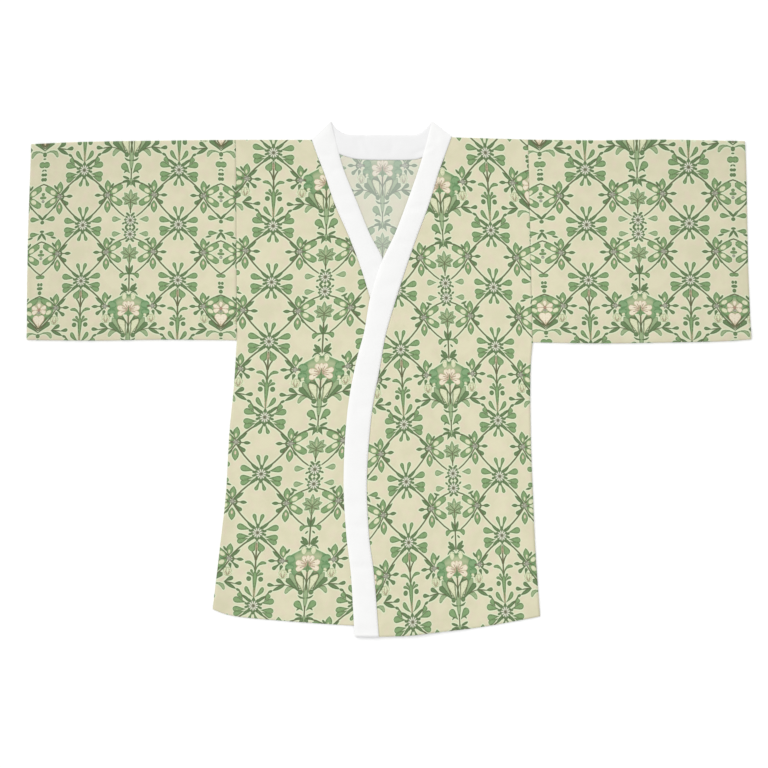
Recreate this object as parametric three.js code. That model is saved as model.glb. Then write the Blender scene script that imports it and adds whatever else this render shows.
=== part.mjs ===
import * as THREE from 'three';

// A kimono robe laid flat and closed, the wearer's left front over the right, seen from above.
// Sizes are in millimetres. +X runs to the left sleeve, +Y to the collar and +Z up from the floor.
// The origin is on the floor under the middle of the outline. "Down" is the distance from the
// shoulder line towards the hem, so a point above the shoulders has a negative down.

// Driving dimensions
const SPAN = 1448; // from cuff to cuff
const SHOULDER_Y = 478; // the shoulder line, from the middle of the outline
const ARMHOLE = 401; // depth of the armhole, and so of the sleeve
const PANEL = 1.2; // wall of the printed cloth
const BAND = 1.6; // wall of the neckband, which is cloth folded double
const GAP = 0.3; // clearance at seams and between layers
const OVERLAP_RISE = 2.4; // how far the left front climbs where it lies over the right neckband
const SLEEVE_ROLL = 1.5; // how full the folded edges of a sleeve stand
const BACK_SHORTER = 3; // how far the back's hem lies inside the fronts'

// Heights of the middle of each wall over the floor
const LOWER = PANEL / 2;
const UPPER = PANEL + GAP + PANEL / 2;
const BAND_LOWER = BAND / 2;
const BAND_UPPER = BAND + GAP + BAND / 2;

// How finely the pieces are divided
const ROWS_PER_STATION = 2;
const BAND_COLUMNS = 4;
const FRONT_COLUMNS = 12;
const BACK_ROWS = 14;
const SHOULDER_COLUMNS = 5;
const SLEEVE_RINGS = 18;
const SLEEVE_COLUMNS = 12;
const FOLD_STEPS = 4;

// The neckband, from its fold at the shoulder down each front: the edge sewn to the front and the
// free edge opposite it.
const RIGHT_BAND = [
  { seamX: -154.4, seamDown: 0.6, freeX: -115.8, freeDown: -36.2 },
  { seamX: -142, seamDown: 34, freeX: -106, freeDown: 8 },
  { seamX: -128, seamDown: 68.5, freeX: -93.5, freeDown: 58 },
  { seamX: -106, seamDown: 132.5, freeX: -66, freeDown: 126 },
  { seamX: -78, seamDown: 196.5, freeX: -39.5, freeDown: 190 },
  { seamX: -56, seamDown: 256, freeX: -12.5, freeDown: 240.5 },
  { seamX: -37, seamDown: 319, freeX: 10, freeDown: 306 },
  { seamX: -18, seamDown: 388, freeX: 29, freeDown: 378 },
  { seamX: -4, seamDown: 463, freeX: 44, freeDown: 456 },
  { seamX: 7, seamDown: 558, freeX: 56, freeDown: 555 },
  { seamX: 13, seamDown: 678, freeX: 62, freeDown: 678 },
  { seamX: 10, seamDown: 798, freeX: 59, freeDown: 801 },
  { seamX: 1, seamDown: 898, freeX: 50, freeDown: 902 },
  { seamX: -8, seamDown: 972, freeX: 41, freeDown: 975.5 },
];
const LEFT_BAND = [
  { seamX: 125, seamDown: -4.6, freeX: 85.4, freeDown: -36 },
  { seamX: 108, seamDown: 36.5, freeX: 74, freeDown: 12 },
  { seamX: 96, seamDown: 68.5, freeX: 60, freeDown: 61 },
  { seamX: 76, seamDown: 132.5, freeX: 37, freeDown: 126 },
  { seamX: 52, seamDown: 196.5, freeX: 12.5, freeDown: 190 },
  { seamX: 30, seamDown: 260.5, freeX: -14, freeDown: 246 },
  { seamX: 10, seamDown: 324.5, freeX: -37, freeDown: 317 },
  { seamX: -9, seamDown: 388.5, freeX: -48.5, freeDown: 383 },
  { seamX: -21, seamDown: 452.5, freeX: -66, freeDown: 450 },
  { seamX: -38, seamDown: 548.5, freeX: -82, freeDown: 546 },
  { seamX: -46, seamDown: 676.5, freeX: -90, freeDown: 676.5 },
  { seamX: -43, seamDown: 788.5, freeX: -84, freeDown: 788.5 },
  { seamX: -33, seamDown: 872, freeX: -75, freeDown: 872 },
  { seamX: -20, seamDown: 993.5, freeX: -69, freeDown: 993.5 },
];

// The neckband behind the neck, from the right shoulder's fold to the left shoulder's.
const BACK_BAND = [
  { seamX: -154.4, seamDown: 0.6, freeX: -115.8, freeDown: -36.2 },
  { seamX: -128, seamDown: 18, freeX: -105, freeDown: -21.5 },
  { seamX: -98, seamDown: 29.5, freeX: -86, freeDown: -11 },
  { seamX: -70, seamDown: 38, freeX: -62, freeDown: -9.5 },
  { seamX: -40, seamDown: 40.5, freeX: -38, freeDown: -9.5 },
  { seamX: 0, seamDown: 40.8, freeX: 0, freeDown: -9.5 },
  { seamX: 40, seamDown: 40.5, freeX: 32, freeDown: -9.5 },
  { seamX: 65, seamDown: 36.5, freeX: 54, freeDown: -10 },
  { seamX: 97, seamDown: 19, freeX: 72, freeDown: -21 },
  { seamX: 125, seamDown: -4.6, freeX: 85.4, freeDown: -36 },
];

// Side seams from the underarm to the hem, hems from the side to the neckband, and each sleeve's
// folded top, its sewn underside and its cuff, all from the armhole outwards or from the top down.
const RIGHT_SIDE = {
  outward: -1,
  armholeX: -306,
  underarmX: -304,
  seam: [
    { x: -304, down: ARMHOLE },
    { x: -310, down: 493 },
    { x: -319, down: 588 },
    { x: -326, down: 708 },
    { x: -338, down: 816 },
    { x: -352.5, down: 938.5 },
  ],
  hem: [
    { x: -322, down: 949.5 },
    { x: -274, down: 956.5 },
    { x: -154, down: 966 },
    { x: -75, down: 971 },
  ],
  sleeveTop: [
    { x: -306, down: 0.5 },
    { x: -450, down: 2 },
    { x: -608, down: 4.5 },
    { x: -715, down: 9 },
  ],
  sleeveUnder: [
    { x: -304, down: ARMHOLE },
    { x: -450, down: ARMHOLE - 1.5 },
    { x: -590, down: ARMHOLE + 0.5 },
    { x: -SPAN / 2, down: ARMHOLE - 1 },
  ],
  cuff: [
    { x: -715, down: 9 },
    { x: -722, down: 213 },
    { x: -SPAN / 2, down: ARMHOLE - 1 },
  ],
};
const LEFT_SIDE = {
  outward: 1,
  armholeX: 278,
  underarmX: 287,
  seam: [
    { x: 287, down: ARMHOLE + 4 },
    { x: 282.5, down: 470 },
    { x: 283.5, down: 600 },
    { x: 288, down: 720 },
    { x: 293, down: 828 },
    { x: 302, down: 952.5 },
  ],
  hem: [
    { x: 278, down: 957.5 },
    { x: 182, down: 974.5 },
    { x: 86, down: 986 },
    { x: 38, down: 991.5 },
  ],
  sleeveTop: [
    { x: 278, down: 0 },
    { x: 422, down: 1.5 },
    { x: 542, down: 0 },
    { x: 711, down: 3 },
  ],
  sleeveUnder: [
    { x: 287, down: ARMHOLE + 4 },
    { x: 422, down: ARMHOLE + 6 },
    { x: 542, down: ARMHOLE + 4.5 },
    { x: 662, down: ARMHOLE + 2 },
    { x: SPAN / 2, down: ARMHOLE - 2 },
  ],
  cuff: [
    { x: 711, down: 3 },
    { x: 714, down: 60 },
    { x: 718, down: 258 },
    { x: SPAN / 2, down: ARMHOLE - 2 },
  ],
};
const BACK_HEM = [
  { x: -180, down: 950 },
  { x: -20, down: 956 },
  { x: 150, down: 954 },
];

// Soft ridges that the upper layers keep: where each starts and ends, its half width and height.
const RIDGES = [
  { x1: -350, down1: 370, x2: -560, down2: 190, width: 34, height: 1.9 },
  { x1: -345, down1: 300, x2: -430, down2: 90, width: 30, height: 1.3 },
  { x1: -684, down1: 120, x2: -676, down2: 330, width: 22, height: 1.6 },
  { x1: -600, down1: 60, x2: -520, down2: 130, width: 30, height: 1.1 },
  { x1: -262, down1: 330, x2: -180, down2: 180, width: 34, height: 1.5 },
  { x1: -286, down1: 640, x2: -240, down2: 905, width: 26, height: 1.8 },
  { x1: -190, down1: 760, x2: -178, down2: 940, width: 22, height: 1.3 },
  { x1: -236, down1: 430, x2: -220, down2: 600, width: 28, height: 1.1 },
  { x1: 330, down1: 372, x2: 545, down2: 205, width: 36, height: 1.8 },
  { x1: 322, down1: 310, x2: 380, down2: 110, width: 30, height: 1.4 },
  { x1: 668, down1: 170, x2: 678, down2: 345, width: 20, height: 1.9 },
  { x1: 590, down1: 250, x2: 650, down2: 130, width: 28, height: 1.1 },
  { x1: 240, down1: 350, x2: 168, down2: 190, width: 34, height: 1.4 },
  { x1: 236, down1: 600, x2: 246, down2: 905, width: 26, height: 1.9 },
  { x1: 150, down1: 700, x2: 142, down2: 960, width: 24, height: 1.5 },
  { x1: 66, down1: 760, x2: 58, down2: 975, width: 20, height: 1.2 },
  { x1: 190, down1: 420, x2: 170, down2: 560, width: 30, height: 1.1 },
];

// Where the left front's rise over the right neckband begins and ends
const RISE_ALONG = { start: 60, full: 190 };
const RISE_ACROSS = { full: 72, end: 160 };
// Below the crossing the free edge of the upper band settles towards the right front
const SETTLE = { start: 320, full: 420, depth: 1 };
// How far in from a sleeve's folded edges its roll reaches, and how far out from the armhole it starts
const ROLL_WIDTH = 20;
const ROLL_START = 80;

const { lerp, smoothstep } = THREE.MathUtils;

// A point of the plan and its height as a place in the robe's frame
function place(x, down, z) {
  return new THREE.Vector3(x, SHOULDER_Y - down, z);
}

// A smooth curve of the plan through a table's rows
function trace(rows) {
  return new THREE.SplineCurve(rows.map(({ x, down }) => new THREE.Vector2(x, down)));
}

// The point of a curve that lies at a given distance down
function atDown(curve, down) {
  let [low, high] = [0, 1];
  const rising = curve.getPoint(1).y > curve.getPoint(0).y;
  for (let step = 0; step < 40; step += 1) {
    const middle = (low + high) / 2;
    if (curve.getPoint(middle).y < down === rising) low = middle;
    else high = middle;
  }
  return curve.getPoint(low);
}

// The height that the soft ridges add at a point of the plan
function ridgeHeight(x, down) {
  let height = 0;
  for (const ridge of RIDGES) {
    const [runX, runDown] = [ridge.x2 - ridge.x1, ridge.down2 - ridge.down1];
    const along = ((x - ridge.x1) * runX + (down - ridge.down1) * runDown) / (runX ** 2 + runDown ** 2);
    const nearest = Math.min(Math.max(along, 0), 1);
    const away = Math.hypot(x - ridge.x1 - nearest * runX, down - ridge.down1 - nearest * runDown);
    height += ridge.height * Math.exp(-((away / ridge.width) ** 2));
  }
  return height;
}

// The height that the left front gains to pass over the right neckband
function overlapRise(x, down) {
  const along = smoothstep(down, RISE_ALONG.start, RISE_ALONG.full);
  return OVERLAP_RISE * along * (1 - smoothstep(x, RISE_ACROSS.full, RISE_ACROSS.end));
}

// A closed wall between two grids of points, each a list of rows. A closed grid's rows are rings.
function shell(outer, inner, closed = false) {
  const rows = outer.length;
  const columns = outer[0].length;
  const spans = closed ? columns : columns - 1;
  const out = (i, j) => i * columns + (j % columns);
  const inn = (i, j) => rows * columns + out(i, j);
  const index = [];
  const quad = (a, b, c, d) => index.push(a, b, c, a, c, d);
  for (let i = 0; i < rows - 1; i += 1) {
    for (let j = 0; j < spans; j += 1) {
      quad(out(i, j), out(i, j + 1), out(i + 1, j + 1), out(i + 1, j));
      quad(inn(i, j), inn(i + 1, j), inn(i + 1, j + 1), inn(i, j + 1));
    }
  }
  for (let j = 0; j < spans; j += 1) {
    quad(out(0, j + 1), out(0, j), inn(0, j), inn(0, j + 1));
    quad(out(rows - 1, j), out(rows - 1, j + 1), inn(rows - 1, j + 1), inn(rows - 1, j));
  }
  if (!closed) {
    const last = columns - 1;
    for (let i = 0; i < rows - 1; i += 1) {
      quad(out(i, 0), out(i + 1, 0), inn(i + 1, 0), inn(i, 0));
      quad(out(i + 1, last), out(i, last), inn(i, last), inn(i + 1, last));
    }
  }
  const points = [...outer.flat(), ...inner.flat()];
  const geometry = new THREE.BufferGeometry();
  geometry.setAttribute('position', new THREE.Float32BufferAttribute(points.flatMap((p) => p.toArray()), 3));
  geometry.setIndex(facingOut(points, index) ? index : index.reverse());
  geometry.computeVertexNormals();
  return geometry;
}

// Whether the faces enclose a positive volume
function facingOut(points, index) {
  let volume = 0;
  for (let i = 0; i < index.length; i += 3) {
    const [a, b, c] = [points[index[i]], points[index[i + 1]], points[index[i + 2]]];
    volume += a.dot(b.clone().cross(c));
  }
  return volume > 0;
}

// A wall of a given thickness on a grid of middle points, each with the direction of its outer side
function wallOn(grid, thickness, closed = false) {
  const moved = (distance) => grid.map((row) => (
    row.map(({ at, facing }) => at.clone().addScaledVector(facing, distance))
  ));
  return shell(moved(thickness / 2), moved(-thickness / 2), closed);
}

// A grid of the plan between four edges. The left and right edges are lists of points, one for each
// row, and the top and bottom edges are lists with one for each column.
function planGrid(top, bottom, left, right) {
  const rowShare = left.map((p) => (p.y - left[0].y) / (left.at(-1).y - left[0].y));
  const columnShare = top.map((p) => (p.x - top[0].x) / (top.at(-1).x - top[0].x));
  return rowShare.map((v, i) => columnShare.map((u, j) => {
    const blend = (axis) => lerp(left[i][axis], right[i][axis], u)
      + lerp(top[j][axis], bottom[j][axis], v)
      - lerp(lerp(top[0][axis], top.at(-1)[axis], u), lerp(bottom[0][axis], bottom.at(-1)[axis], u), v);
    return new THREE.Vector2(blend('x'), blend('y'));
  }));
}

// Evenly spaced points of a curve, at given shares of its length
function samples(curve, shares) {
  return shares.map((share) => curve.getPointAt(share));
}

// The shares 0 to 1 in a given number of even steps
function evenShares(count) {
  return Array.from({ length: count + 1 }, (_, i) => i / count);
}

// The rows of a stretch of neckband, each with its point on the seam and its point on the free edge
function bandRows(stations) {
  const seam = trace(stations.map((s) => ({ x: s.seamX, down: s.seamDown })));
  const free = trace(stations.map((s) => ({ x: s.freeX, down: s.freeDown })));
  return evenShares((stations.length - 1) * ROWS_PER_STATION)
    .map((share) => ({ seam: seam.getPoint(share), free: free.getPoint(share) }));
}

const rightRows = bandRows(RIGHT_BAND);
const leftRows = bandRows(LEFT_BAND);
const backRows = bandRows(BACK_BAND);

// The edge of a panel along a row of seam points, set back from them by the seam's clearance
function besideSeam(rows) {
  return rows.map(({ seam, free }, i) => {
    const before = rows[Math.max(i - 1, 0)].seam;
    const after = rows[Math.min(i + 1, rows.length - 1)].seam;
    const run = after.clone().sub(before).normalize();
    const away = new THREE.Vector2(run.y, -run.x);
    if (away.dot(free.clone().sub(seam)) > 0) away.negate();
    return seam.clone().addScaledVector(away, GAP);
  });
}

// The side edge of a panel at a distance down: the armhole, and the side seam below it
function sideEdge(side, down) {
  const underarm = side.seam[0].down;
  if (down > underarm) return atDown(trace(side.seam), down);
  return new THREE.Vector2(lerp(side.armholeX, side.underarmX, down / underarm), down);
}

// Points of a panel's side edge, one for each row, with one of them just at the underarm. Each row
// is given by the share of the panel's length that lies above it.
function sideRows(side, shares, end) {
  const underarm = side.seam[0].down;
  const start = side.sleeveTop[0].down;
  const corner = shares.find((share) => share >= (underarm - start) / (end - start));
  return shares.map((share) => {
    if (share <= corner) return sideEdge(side, lerp(start, underarm, share / corner));
    return sideEdge(side, lerp(underarm, end, (share - corner) / (1 - corner)));
  });
}

// The plan of a front, from its side to the neckband
function frontPlan(side, rows) {
  const bandEdge = besideSeam(rows);
  const hemEnd = side.seam.at(-1);
  const length = bandEdge.at(-1).y - bandEdge[0].y;
  const sidePoints = sideRows(side, bandEdge.map((p) => (p.y - bandEdge[0].y) / length), hemEnd.down);
  const shares = evenShares(FRONT_COLUMNS);
  const top = shares.map((u) => sidePoints[0].clone().lerp(bandEdge[0], u));
  const corner = { x: bandEdge.at(-1).x, down: bandEdge.at(-1).y };
  const bottom = samples(trace([hemEnd, ...side.hem, corner]), shares);
  return planGrid(top, bottom, sidePoints, bandEdge);
}

// A panel's wall on its plan, level but for the height that a function gives each point's middle
function flatWall(plan, height) {
  const up = new THREE.Vector3(0, 0, 1);
  const grid = plan.map((row) => (
    row.map(({ x, y: down }) => ({ at: place(x, down, height(x, down)), facing: up }))
  ));
  return wallOn(grid, PANEL);
}

// The back, flat on the floor, with the curved neckline between the shoulders
function backPlan() {
  const neckline = besideSeam(backRows);
  const [rightEnd, leftEnd] = [RIGHT_SIDE.seam.at(-1), LEFT_SIDE.seam.at(-1)];
  const edge = (side, end) => sideRows(side, evenShares(BACK_ROWS), end.down - BACK_SHORTER);
  const [rightEdge, leftEdge] = [edge(RIGHT_SIDE, rightEnd), edge(LEFT_SIDE, leftEnd)];
  const shoulder = (from, to) => evenShares(SHOULDER_COLUMNS).map((u) => from.clone().lerp(to, u));
  const top = [
    ...shoulder(rightEdge[0], neckline[0]).slice(0, -1),
    ...neckline,
    ...shoulder(neckline.at(-1), leftEdge[0]).slice(1),
  ];
  const corners = [rightEdge, leftEdge].map((points) => ({ x: points.at(-1).x, down: points.at(-1).y }));
  const shares = top.map((p) => (p.x - top[0].x) / (top.at(-1).x - top[0].x));
  const bottom = samples(trace([corners[0], ...BACK_HEM, corners[1]]), shares);
  return planGrid(top, bottom, rightEdge, leftEdge);
}

// A sleeve: a flattened tube, folded along its top, sewn along its underside and open at both ends
function sleeveWall(side) {
  const underarm = side.seam[0].down;
  const armholeX = (down) => lerp(side.armholeX, side.underarmX, down / underarm) + side.outward * GAP;
  const edges = { top: trace(side.sleeveTop), under: trace(side.sleeveUnder), cuff: trace(side.cuff) };
  const along = evenShares(SLEEVE_RINGS);
  const across = evenShares(SLEEVE_COLUMNS);
  const top = samples(edges.top, along);
  const under = samples(edges.under, along);
  top[0].x = armholeX(top[0].y);
  under[0].x = armholeX(under[0].y);
  const [start, end] = [top[0].y, under[0].y];
  const inner = across.map((v) => new THREE.Vector2(armholeX(lerp(start, end, v)), lerp(start, end, v)));
  const cuff = across.map((v) => atDown(edges.cuff, lerp(top.at(-1).y, under.at(-1).y, v)));
  const plan = planGrid(top, under, inner, cuff);
  const rings = along.map((_, i) => {
    const fromArmhole = Math.abs(plan[0][i].x - side.armholeX);
    return sleeveRing(plan.map((row) => row[i]), fromArmhole);
  });
  return wallOn(rings, PANEL, true);
}

// One ring of a sleeve, through the points across it from the top to the underside
function sleeveRing(points, fromArmhole) {
  const roll = SLEEVE_ROLL * smoothstep(fromArmhole, 0, ROLL_START);
  const radius = (UPPER + roll - LOWER) / 2;
  const [top, under] = [points[0].y, points.at(-1).y];
  const edge = radius + PANEL / 2;
  const inset = (point) => lerp(top + edge, under - edge, (point.y - top) / (under - top));
  const up = new THREE.Vector3(0, 0, 1);
  const upper = points.map((p) => {
    const down = inset(p);
    const fromFold = Math.min(down - top, under - down) - edge;
    const ridges = ridgeHeight(p.x, down) * smoothstep(fromFold, 0, ROLL_WIDTH);
    const height = UPPER + roll * Math.exp(-((fromFold / ROLL_WIDTH) ** 2)) + ridges;
    return { at: place(p.x, down, height), facing: up };
  });
  const lower = points.filter((_, i) => i % 2 === 0)
    .map((p) => ({ at: place(p.x, inset(p), LOWER), facing: up.clone().negate() }));
  const foldAt = (p, outward) => Array.from({ length: FOLD_STEPS - 1 }, (_, i) => {
    const angle = Math.PI * ((i + 1) / FOLD_STEPS);
    const facing = new THREE.Vector3(0, outward * Math.sin(angle), Math.cos(angle));
    return { at: place(p.x, inset(p), LOWER + radius).addScaledVector(facing, radius), facing };
  });
  return [
    ...upper,
    ...foldAt(points.at(-1), -1),
    ...lower.reverse(),
    ...foldAt(points[0], 1).reverse(),
  ];
}

// The neckband in one strip: up the right front, round behind the neck and down the left front. At
// each shoulder it folds flat on itself along the line from the neck point to the peak.
function neckbandWall() {
  const up = new THREE.Vector3(0, 0, 1);
  const crossRow = ({ seam, free }, facing, height) => evenShares(BAND_COLUMNS).map((w) => {
    const point = seam.clone().lerp(free, w);
    return { at: place(point.x, point.y, height(point, w)), facing };
  });
  const foldRows = ({ seam, free }, outward) => {
    const line = place(free.x, free.y, 0).sub(place(seam.x, seam.y, 0)).normalize();
    const away = new THREE.Vector3(-line.y, line.x, 0).multiplyScalar(outward);
    const radius = (BAND_UPPER - BAND_LOWER) / 2;
    return Array.from({ length: FOLD_STEPS - 1 }, (_, i) => {
      const angle = Math.PI * ((i + 1) / FOLD_STEPS);
      const facing = up.clone().multiplyScalar(Math.cos(angle)).addScaledVector(away, Math.sin(angle));
      return crossRow({ seam, free }, facing, () => BAND_LOWER + radius)
        .map(({ at }) => ({ at: at.addScaledVector(facing, radius), facing }));
    });
  };
  const settle = (down) => SETTLE.depth * smoothstep(down, SETTLE.start, SETTLE.full);
  const overHeight = (point, w) => BAND_UPPER + overlapRise(point.x, point.y) - w * settle(point.y);
  return wallOn([
    ...rightRows.map((row) => crossRow(row, up, () => BAND_UPPER)).reverse(),
    ...foldRows(rightRows[0], 1),
    ...backRows.map((row) => crossRow(row, up.clone().negate(), () => BAND_LOWER)),
    ...foldRows(leftRows[0], -1).reverse(),
    ...leftRows.map((row) => crossRow(row, up, overHeight)),
  ], BAND);
}

// A named piece of the robe in its finish
function piece(name, geometry, finish) {
  const mesh = new THREE.Mesh(geometry, new THREE.MeshStandardMaterial(finish));
  mesh.name = name;
  return mesh;
}

const PRINTED = { color: 0xb4bd9b, roughness: 0.82, metalness: 0 };
const PLAIN_WHITE = { color: 0xf4f4f1, roughness: 0.85, metalness: 0 };

const robe = new THREE.Group();
robe.add(
  piece('back', flatWall(backPlan(), () => LOWER), PRINTED),
  piece('front_right', flatWall(
    frontPlan(RIGHT_SIDE, rightRows),
    (x, down) => UPPER + ridgeHeight(x, down),
  ), PRINTED),
  piece('front_left', flatWall(
    frontPlan(LEFT_SIDE, leftRows),
    (x, down) => UPPER + ridgeHeight(x, down) + overlapRise(x, down),
  ), PRINTED),
  piece('sleeve_right', sleeveWall(RIGHT_SIDE), PRINTED),
  piece('sleeve_left', sleeveWall(LEFT_SIDE), PRINTED),
  piece('neckband', neckbandWall(), PLAIN_WHITE),
);

export default robe;
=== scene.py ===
"""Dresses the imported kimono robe: printed cotton panels and sleeves, a white neckband and sewing.

The robe lies flat and closed on a pale floor and is seen from straight above. Places are first
worked out in millimetres on the plan, as X and the distance "down" from the shoulder line, and
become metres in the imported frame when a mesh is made.
"""

import logging
import math
from dataclasses import dataclass, field
from enum import Enum
from typing import Any, Iterable, Sequence

import bpy
import numpy as np
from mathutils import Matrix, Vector


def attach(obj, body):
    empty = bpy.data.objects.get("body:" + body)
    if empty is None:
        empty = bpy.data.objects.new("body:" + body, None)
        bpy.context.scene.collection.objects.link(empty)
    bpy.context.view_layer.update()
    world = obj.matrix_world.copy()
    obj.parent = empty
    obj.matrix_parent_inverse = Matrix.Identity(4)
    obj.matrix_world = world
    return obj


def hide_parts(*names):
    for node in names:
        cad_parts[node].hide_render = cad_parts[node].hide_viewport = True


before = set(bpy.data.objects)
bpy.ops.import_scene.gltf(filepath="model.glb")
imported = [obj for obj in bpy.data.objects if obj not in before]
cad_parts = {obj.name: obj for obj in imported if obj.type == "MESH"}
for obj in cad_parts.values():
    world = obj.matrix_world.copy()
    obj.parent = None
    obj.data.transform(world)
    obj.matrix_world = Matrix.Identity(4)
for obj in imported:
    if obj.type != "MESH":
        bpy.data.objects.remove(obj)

log = logging.getLogger("kimono")

MM = 0.001

# The robe's own sizes in millimetres, as its solids have them: LOWER and UPPER are the middles of the
# two layers of panels, and a sleeve's roll is the swell of its front beside its folds
SPAN = 1448.0
SHOULDER_Y = 478.0
ARMHOLE = 401.0
PANEL = 1.2
BAND = 1.6
GAP = 0.3
SEAM = 0.06
LOWER = PANEL / 2
UPPER = PANEL + GAP + PANEL / 2
BAND_LOWER = BAND / 2
BAND_UPPER = BAND + GAP + BAND / 2
OVERLAP_RISE = 2.4
SLEEVE_ROLL = 1.5
BACK_SHORTER = 3.0
ROLL_WIDTH = 20.0
ROLL_START = 80.0
# Where the left front starts to rise over the right neckband and where it has risen, down and across
RISE_DOWN = (60.0, 190.0)
RISE_ACROSS = (72.0, 160.0)

# Each row of a neckband: the edge sewn to the panel (x, down) and the free edge (x, down)
RIGHT_BAND = (
    (-154.4, 0.6, -115.8, -36.2), (-142.5, 34, -104.5, 8), (-129, 68.5, -91, 58), (-107, 132.5, -63.5, 126),
    (-79, 196.5, -37.5, 190), (-56.5, 256, -11, 240.5), (-37, 319, 10, 306), (-18, 388, 29, 378),
    (-4, 463, 44, 456), (7, 558, 56, 555), (13, 678, 62, 678), (10, 798, 59, 801), (1, 898, 50, 902),
    (-8, 972, 41, 975.5),
)
LEFT_BAND = (
    (125, -4.6, 85.4, -36), (110, 36.5, 73, 12), (98.5, 68.5, 58.5, 61), (79, 132.5, 35.5, 126),
    (55, 196.5, 11, 190), (33, 260.5, -15.5, 246), (12.5, 324.5, -38, 317), (-6, 388.5, -49.5, 383),
    (-17.5, 452.5, -67, 450), (-34.5, 548.5, -83.5, 546), (-44, 676.5, -91, 676.5),
    (-40, 788.5, -85.5, 788.5), (-29.5, 872, -76, 872), (-20, 993.5, -69, 993.5),
)
BACK_BAND = (
    (-154.4, 0.6, -115.8, -36.2), (-128, 18, -105, -21.5), (-98, 29.5, -86, -11), (-70, 38, -62, -9.5),
    (-40, 40.5, -38, -9.5), (0, 40.8, 0, -9.5), (40, 40.5, 32, -9.5), (65, 36.5, 54, -10),
    (97, 19, 72, -21), (125, -4.6, 85.4, -36),
)
BACK_HEM = ((-180, 950), (-20, 956), (150, 954))

# Soft ridges of the upper layers: from (x, down) to (x, down), half width and height
RIDGES = (
    (-350, 370, -560, 190, 34, 1.9), (-345, 300, -430, 90, 30, 1.3), (-684, 120, -676, 330, 22, 1.6),
    (-600, 60, -520, 130, 30, 1.1), (-262, 330, -180, 180, 34, 1.5), (-286, 640, -240, 905, 26, 1.8),
    (-190, 760, -178, 940, 22, 1.3), (-236, 430, -220, 600, 28, 1.1), (330, 372, 545, 205, 36, 1.8),
    (322, 310, 380, 110, 30, 1.4), (668, 170, 678, 345, 20, 1.9), (590, 250, 650, 130, 28, 1.1),
    (240, 350, 168, 190, 34, 1.4), (236, 600, 246, 905, 26, 1.9), (150, 700, 142, 960, 24, 1.5),
    (66, 760, 58, 975, 20, 1.2), (190, 420, 170, 560, 30, 1.1),
)
# Finer creases that only the cloth shows, in the same terms
CREASES = (
    (664, 236, 668, 322, 3.6, 0.5), (676, 228, 679, 330, 3.2, 0.6), (688, 240, 690, 318, 3.4, 0.5),
    (700, 262, 701, 312, 3.0, 0.4), (286, 96, 292, 372, 5.0, 0.5), (-312, 110, -309, 360, 5.0, 0.3),
    (-700, 60, -706, 300, 4.5, 0.4), (-452, 322, -470, 352, 6.0, 0.4), (430, 330, 462, 352, 6.0, 0.4),
    (-222, 300, -196, 262, 6.0, 0.4), (-300, 430, -262, 470, 7.0, 0.4), (262, 440, 236, 500, 7.0, 0.4),
    (206, 862, 212, 950, 6.0, 0.5), (104, 842, 100, 968, 6.0, 0.4), (-262, 800, -254, 940, 6.0, 0.4),
    (-120, 850, -116, 958, 6.0, 0.4), (-524, 40, -470, 84, 7.0, 0.4), (548, 60, 498, 104, 7.0, 0.4),
)
# Troughs pressed across the neckband: from (x, down) to (x, down), half width and depth
BAND_TROUGHS = (
    (-116, -36, -108, -18, 5, 1.6), (-108, -18, -112, 6, 5, 0.9), (-52, -4, -36, 29, 4, 2.2),
    (-64, 0, -58, 20, 6, 0.6), (6, -8, 4, 25, 5, 1.0), (20, -8, 18, 6, 4, 0.7), (52, 28, 82, 16, 4, 1.6),
    (83, -36, 94, -3, 6, 2.0), (90, 30, 100, 50, 7, 0.8), (60, 72, 85, 110, 8, 1.5),
    (34, 136, 70, 137, 7, 1.2),
    (22, 204, 50, 209, 6, 0.6), (-146, 28, -122, 33, 6, 0.7), (-110, 60, -90, 59, 5, 0.7),
    (-92, 150, -66, 140, 9, 0.4), (-40, 262, -8, 250, 9, 0.4), (-24, 300, 14, 292, 9, 0.4),
    (-70, 470, -20, 478, 9, 0.4), (-62, 536, -36, 536, 5, 1.2), (-92, 610, -40, 604, 9, 0.4),
    (-96, 658, -40, 662, 6, 0.9), (-90, 728, -36, 732, 6, 1.0), (-92, 772, -34, 776, 5, 1.5),
    (-84, 852, -26, 854, 5, 1.5), (-84, 912, -26, 916, 8, 0.5), (-84, 980, -12, 982, 6, 2.0),
)
# The neckband's soft height, how firmly a trough presses it, the lower loft behind the neck, and how
# thin its free edge becomes past a share of its width
BAND_LOFT = 1.5
TROUGH_PRESS = 1.6
BACK_LOFT_SHARE = 0.8
EDGE_THINNING = 0.9
THINNED_PAST = 0.82
# The left band settles by a millimetre at its free edge between these distances down
SETTLE_DOWN = (320.0, 420.0)
# How many of a panel's rows, or a sleeve's rings, its hem takes up
HEM_ROWS = 5

# Painted shade: how much of its lightness the cloth's colour loses towards its cuffs, shoulders,
# sleeve undersides and hem, and between which places across or down each of these sets in
CUFF_PAINTED_SHADE, SHOULDER_PAINTED_SHADE, UNDERSIDE_PAINTED_SHADE, HEM_PAINTED_SHADE = 0.086, 0.035, 0.04, 0.015
CUFF_FROM, CUFF_REACH = 150.0, 570.0
SHOULDER_DOWN = (-10.0, 240.0)
UNDERSIDE_DOWN = (340.0, 400.0)
UNDERSIDE_ACROSS = (290.0, 330.0)
HEM_DOWN = (820.0, 960.0)


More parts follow.
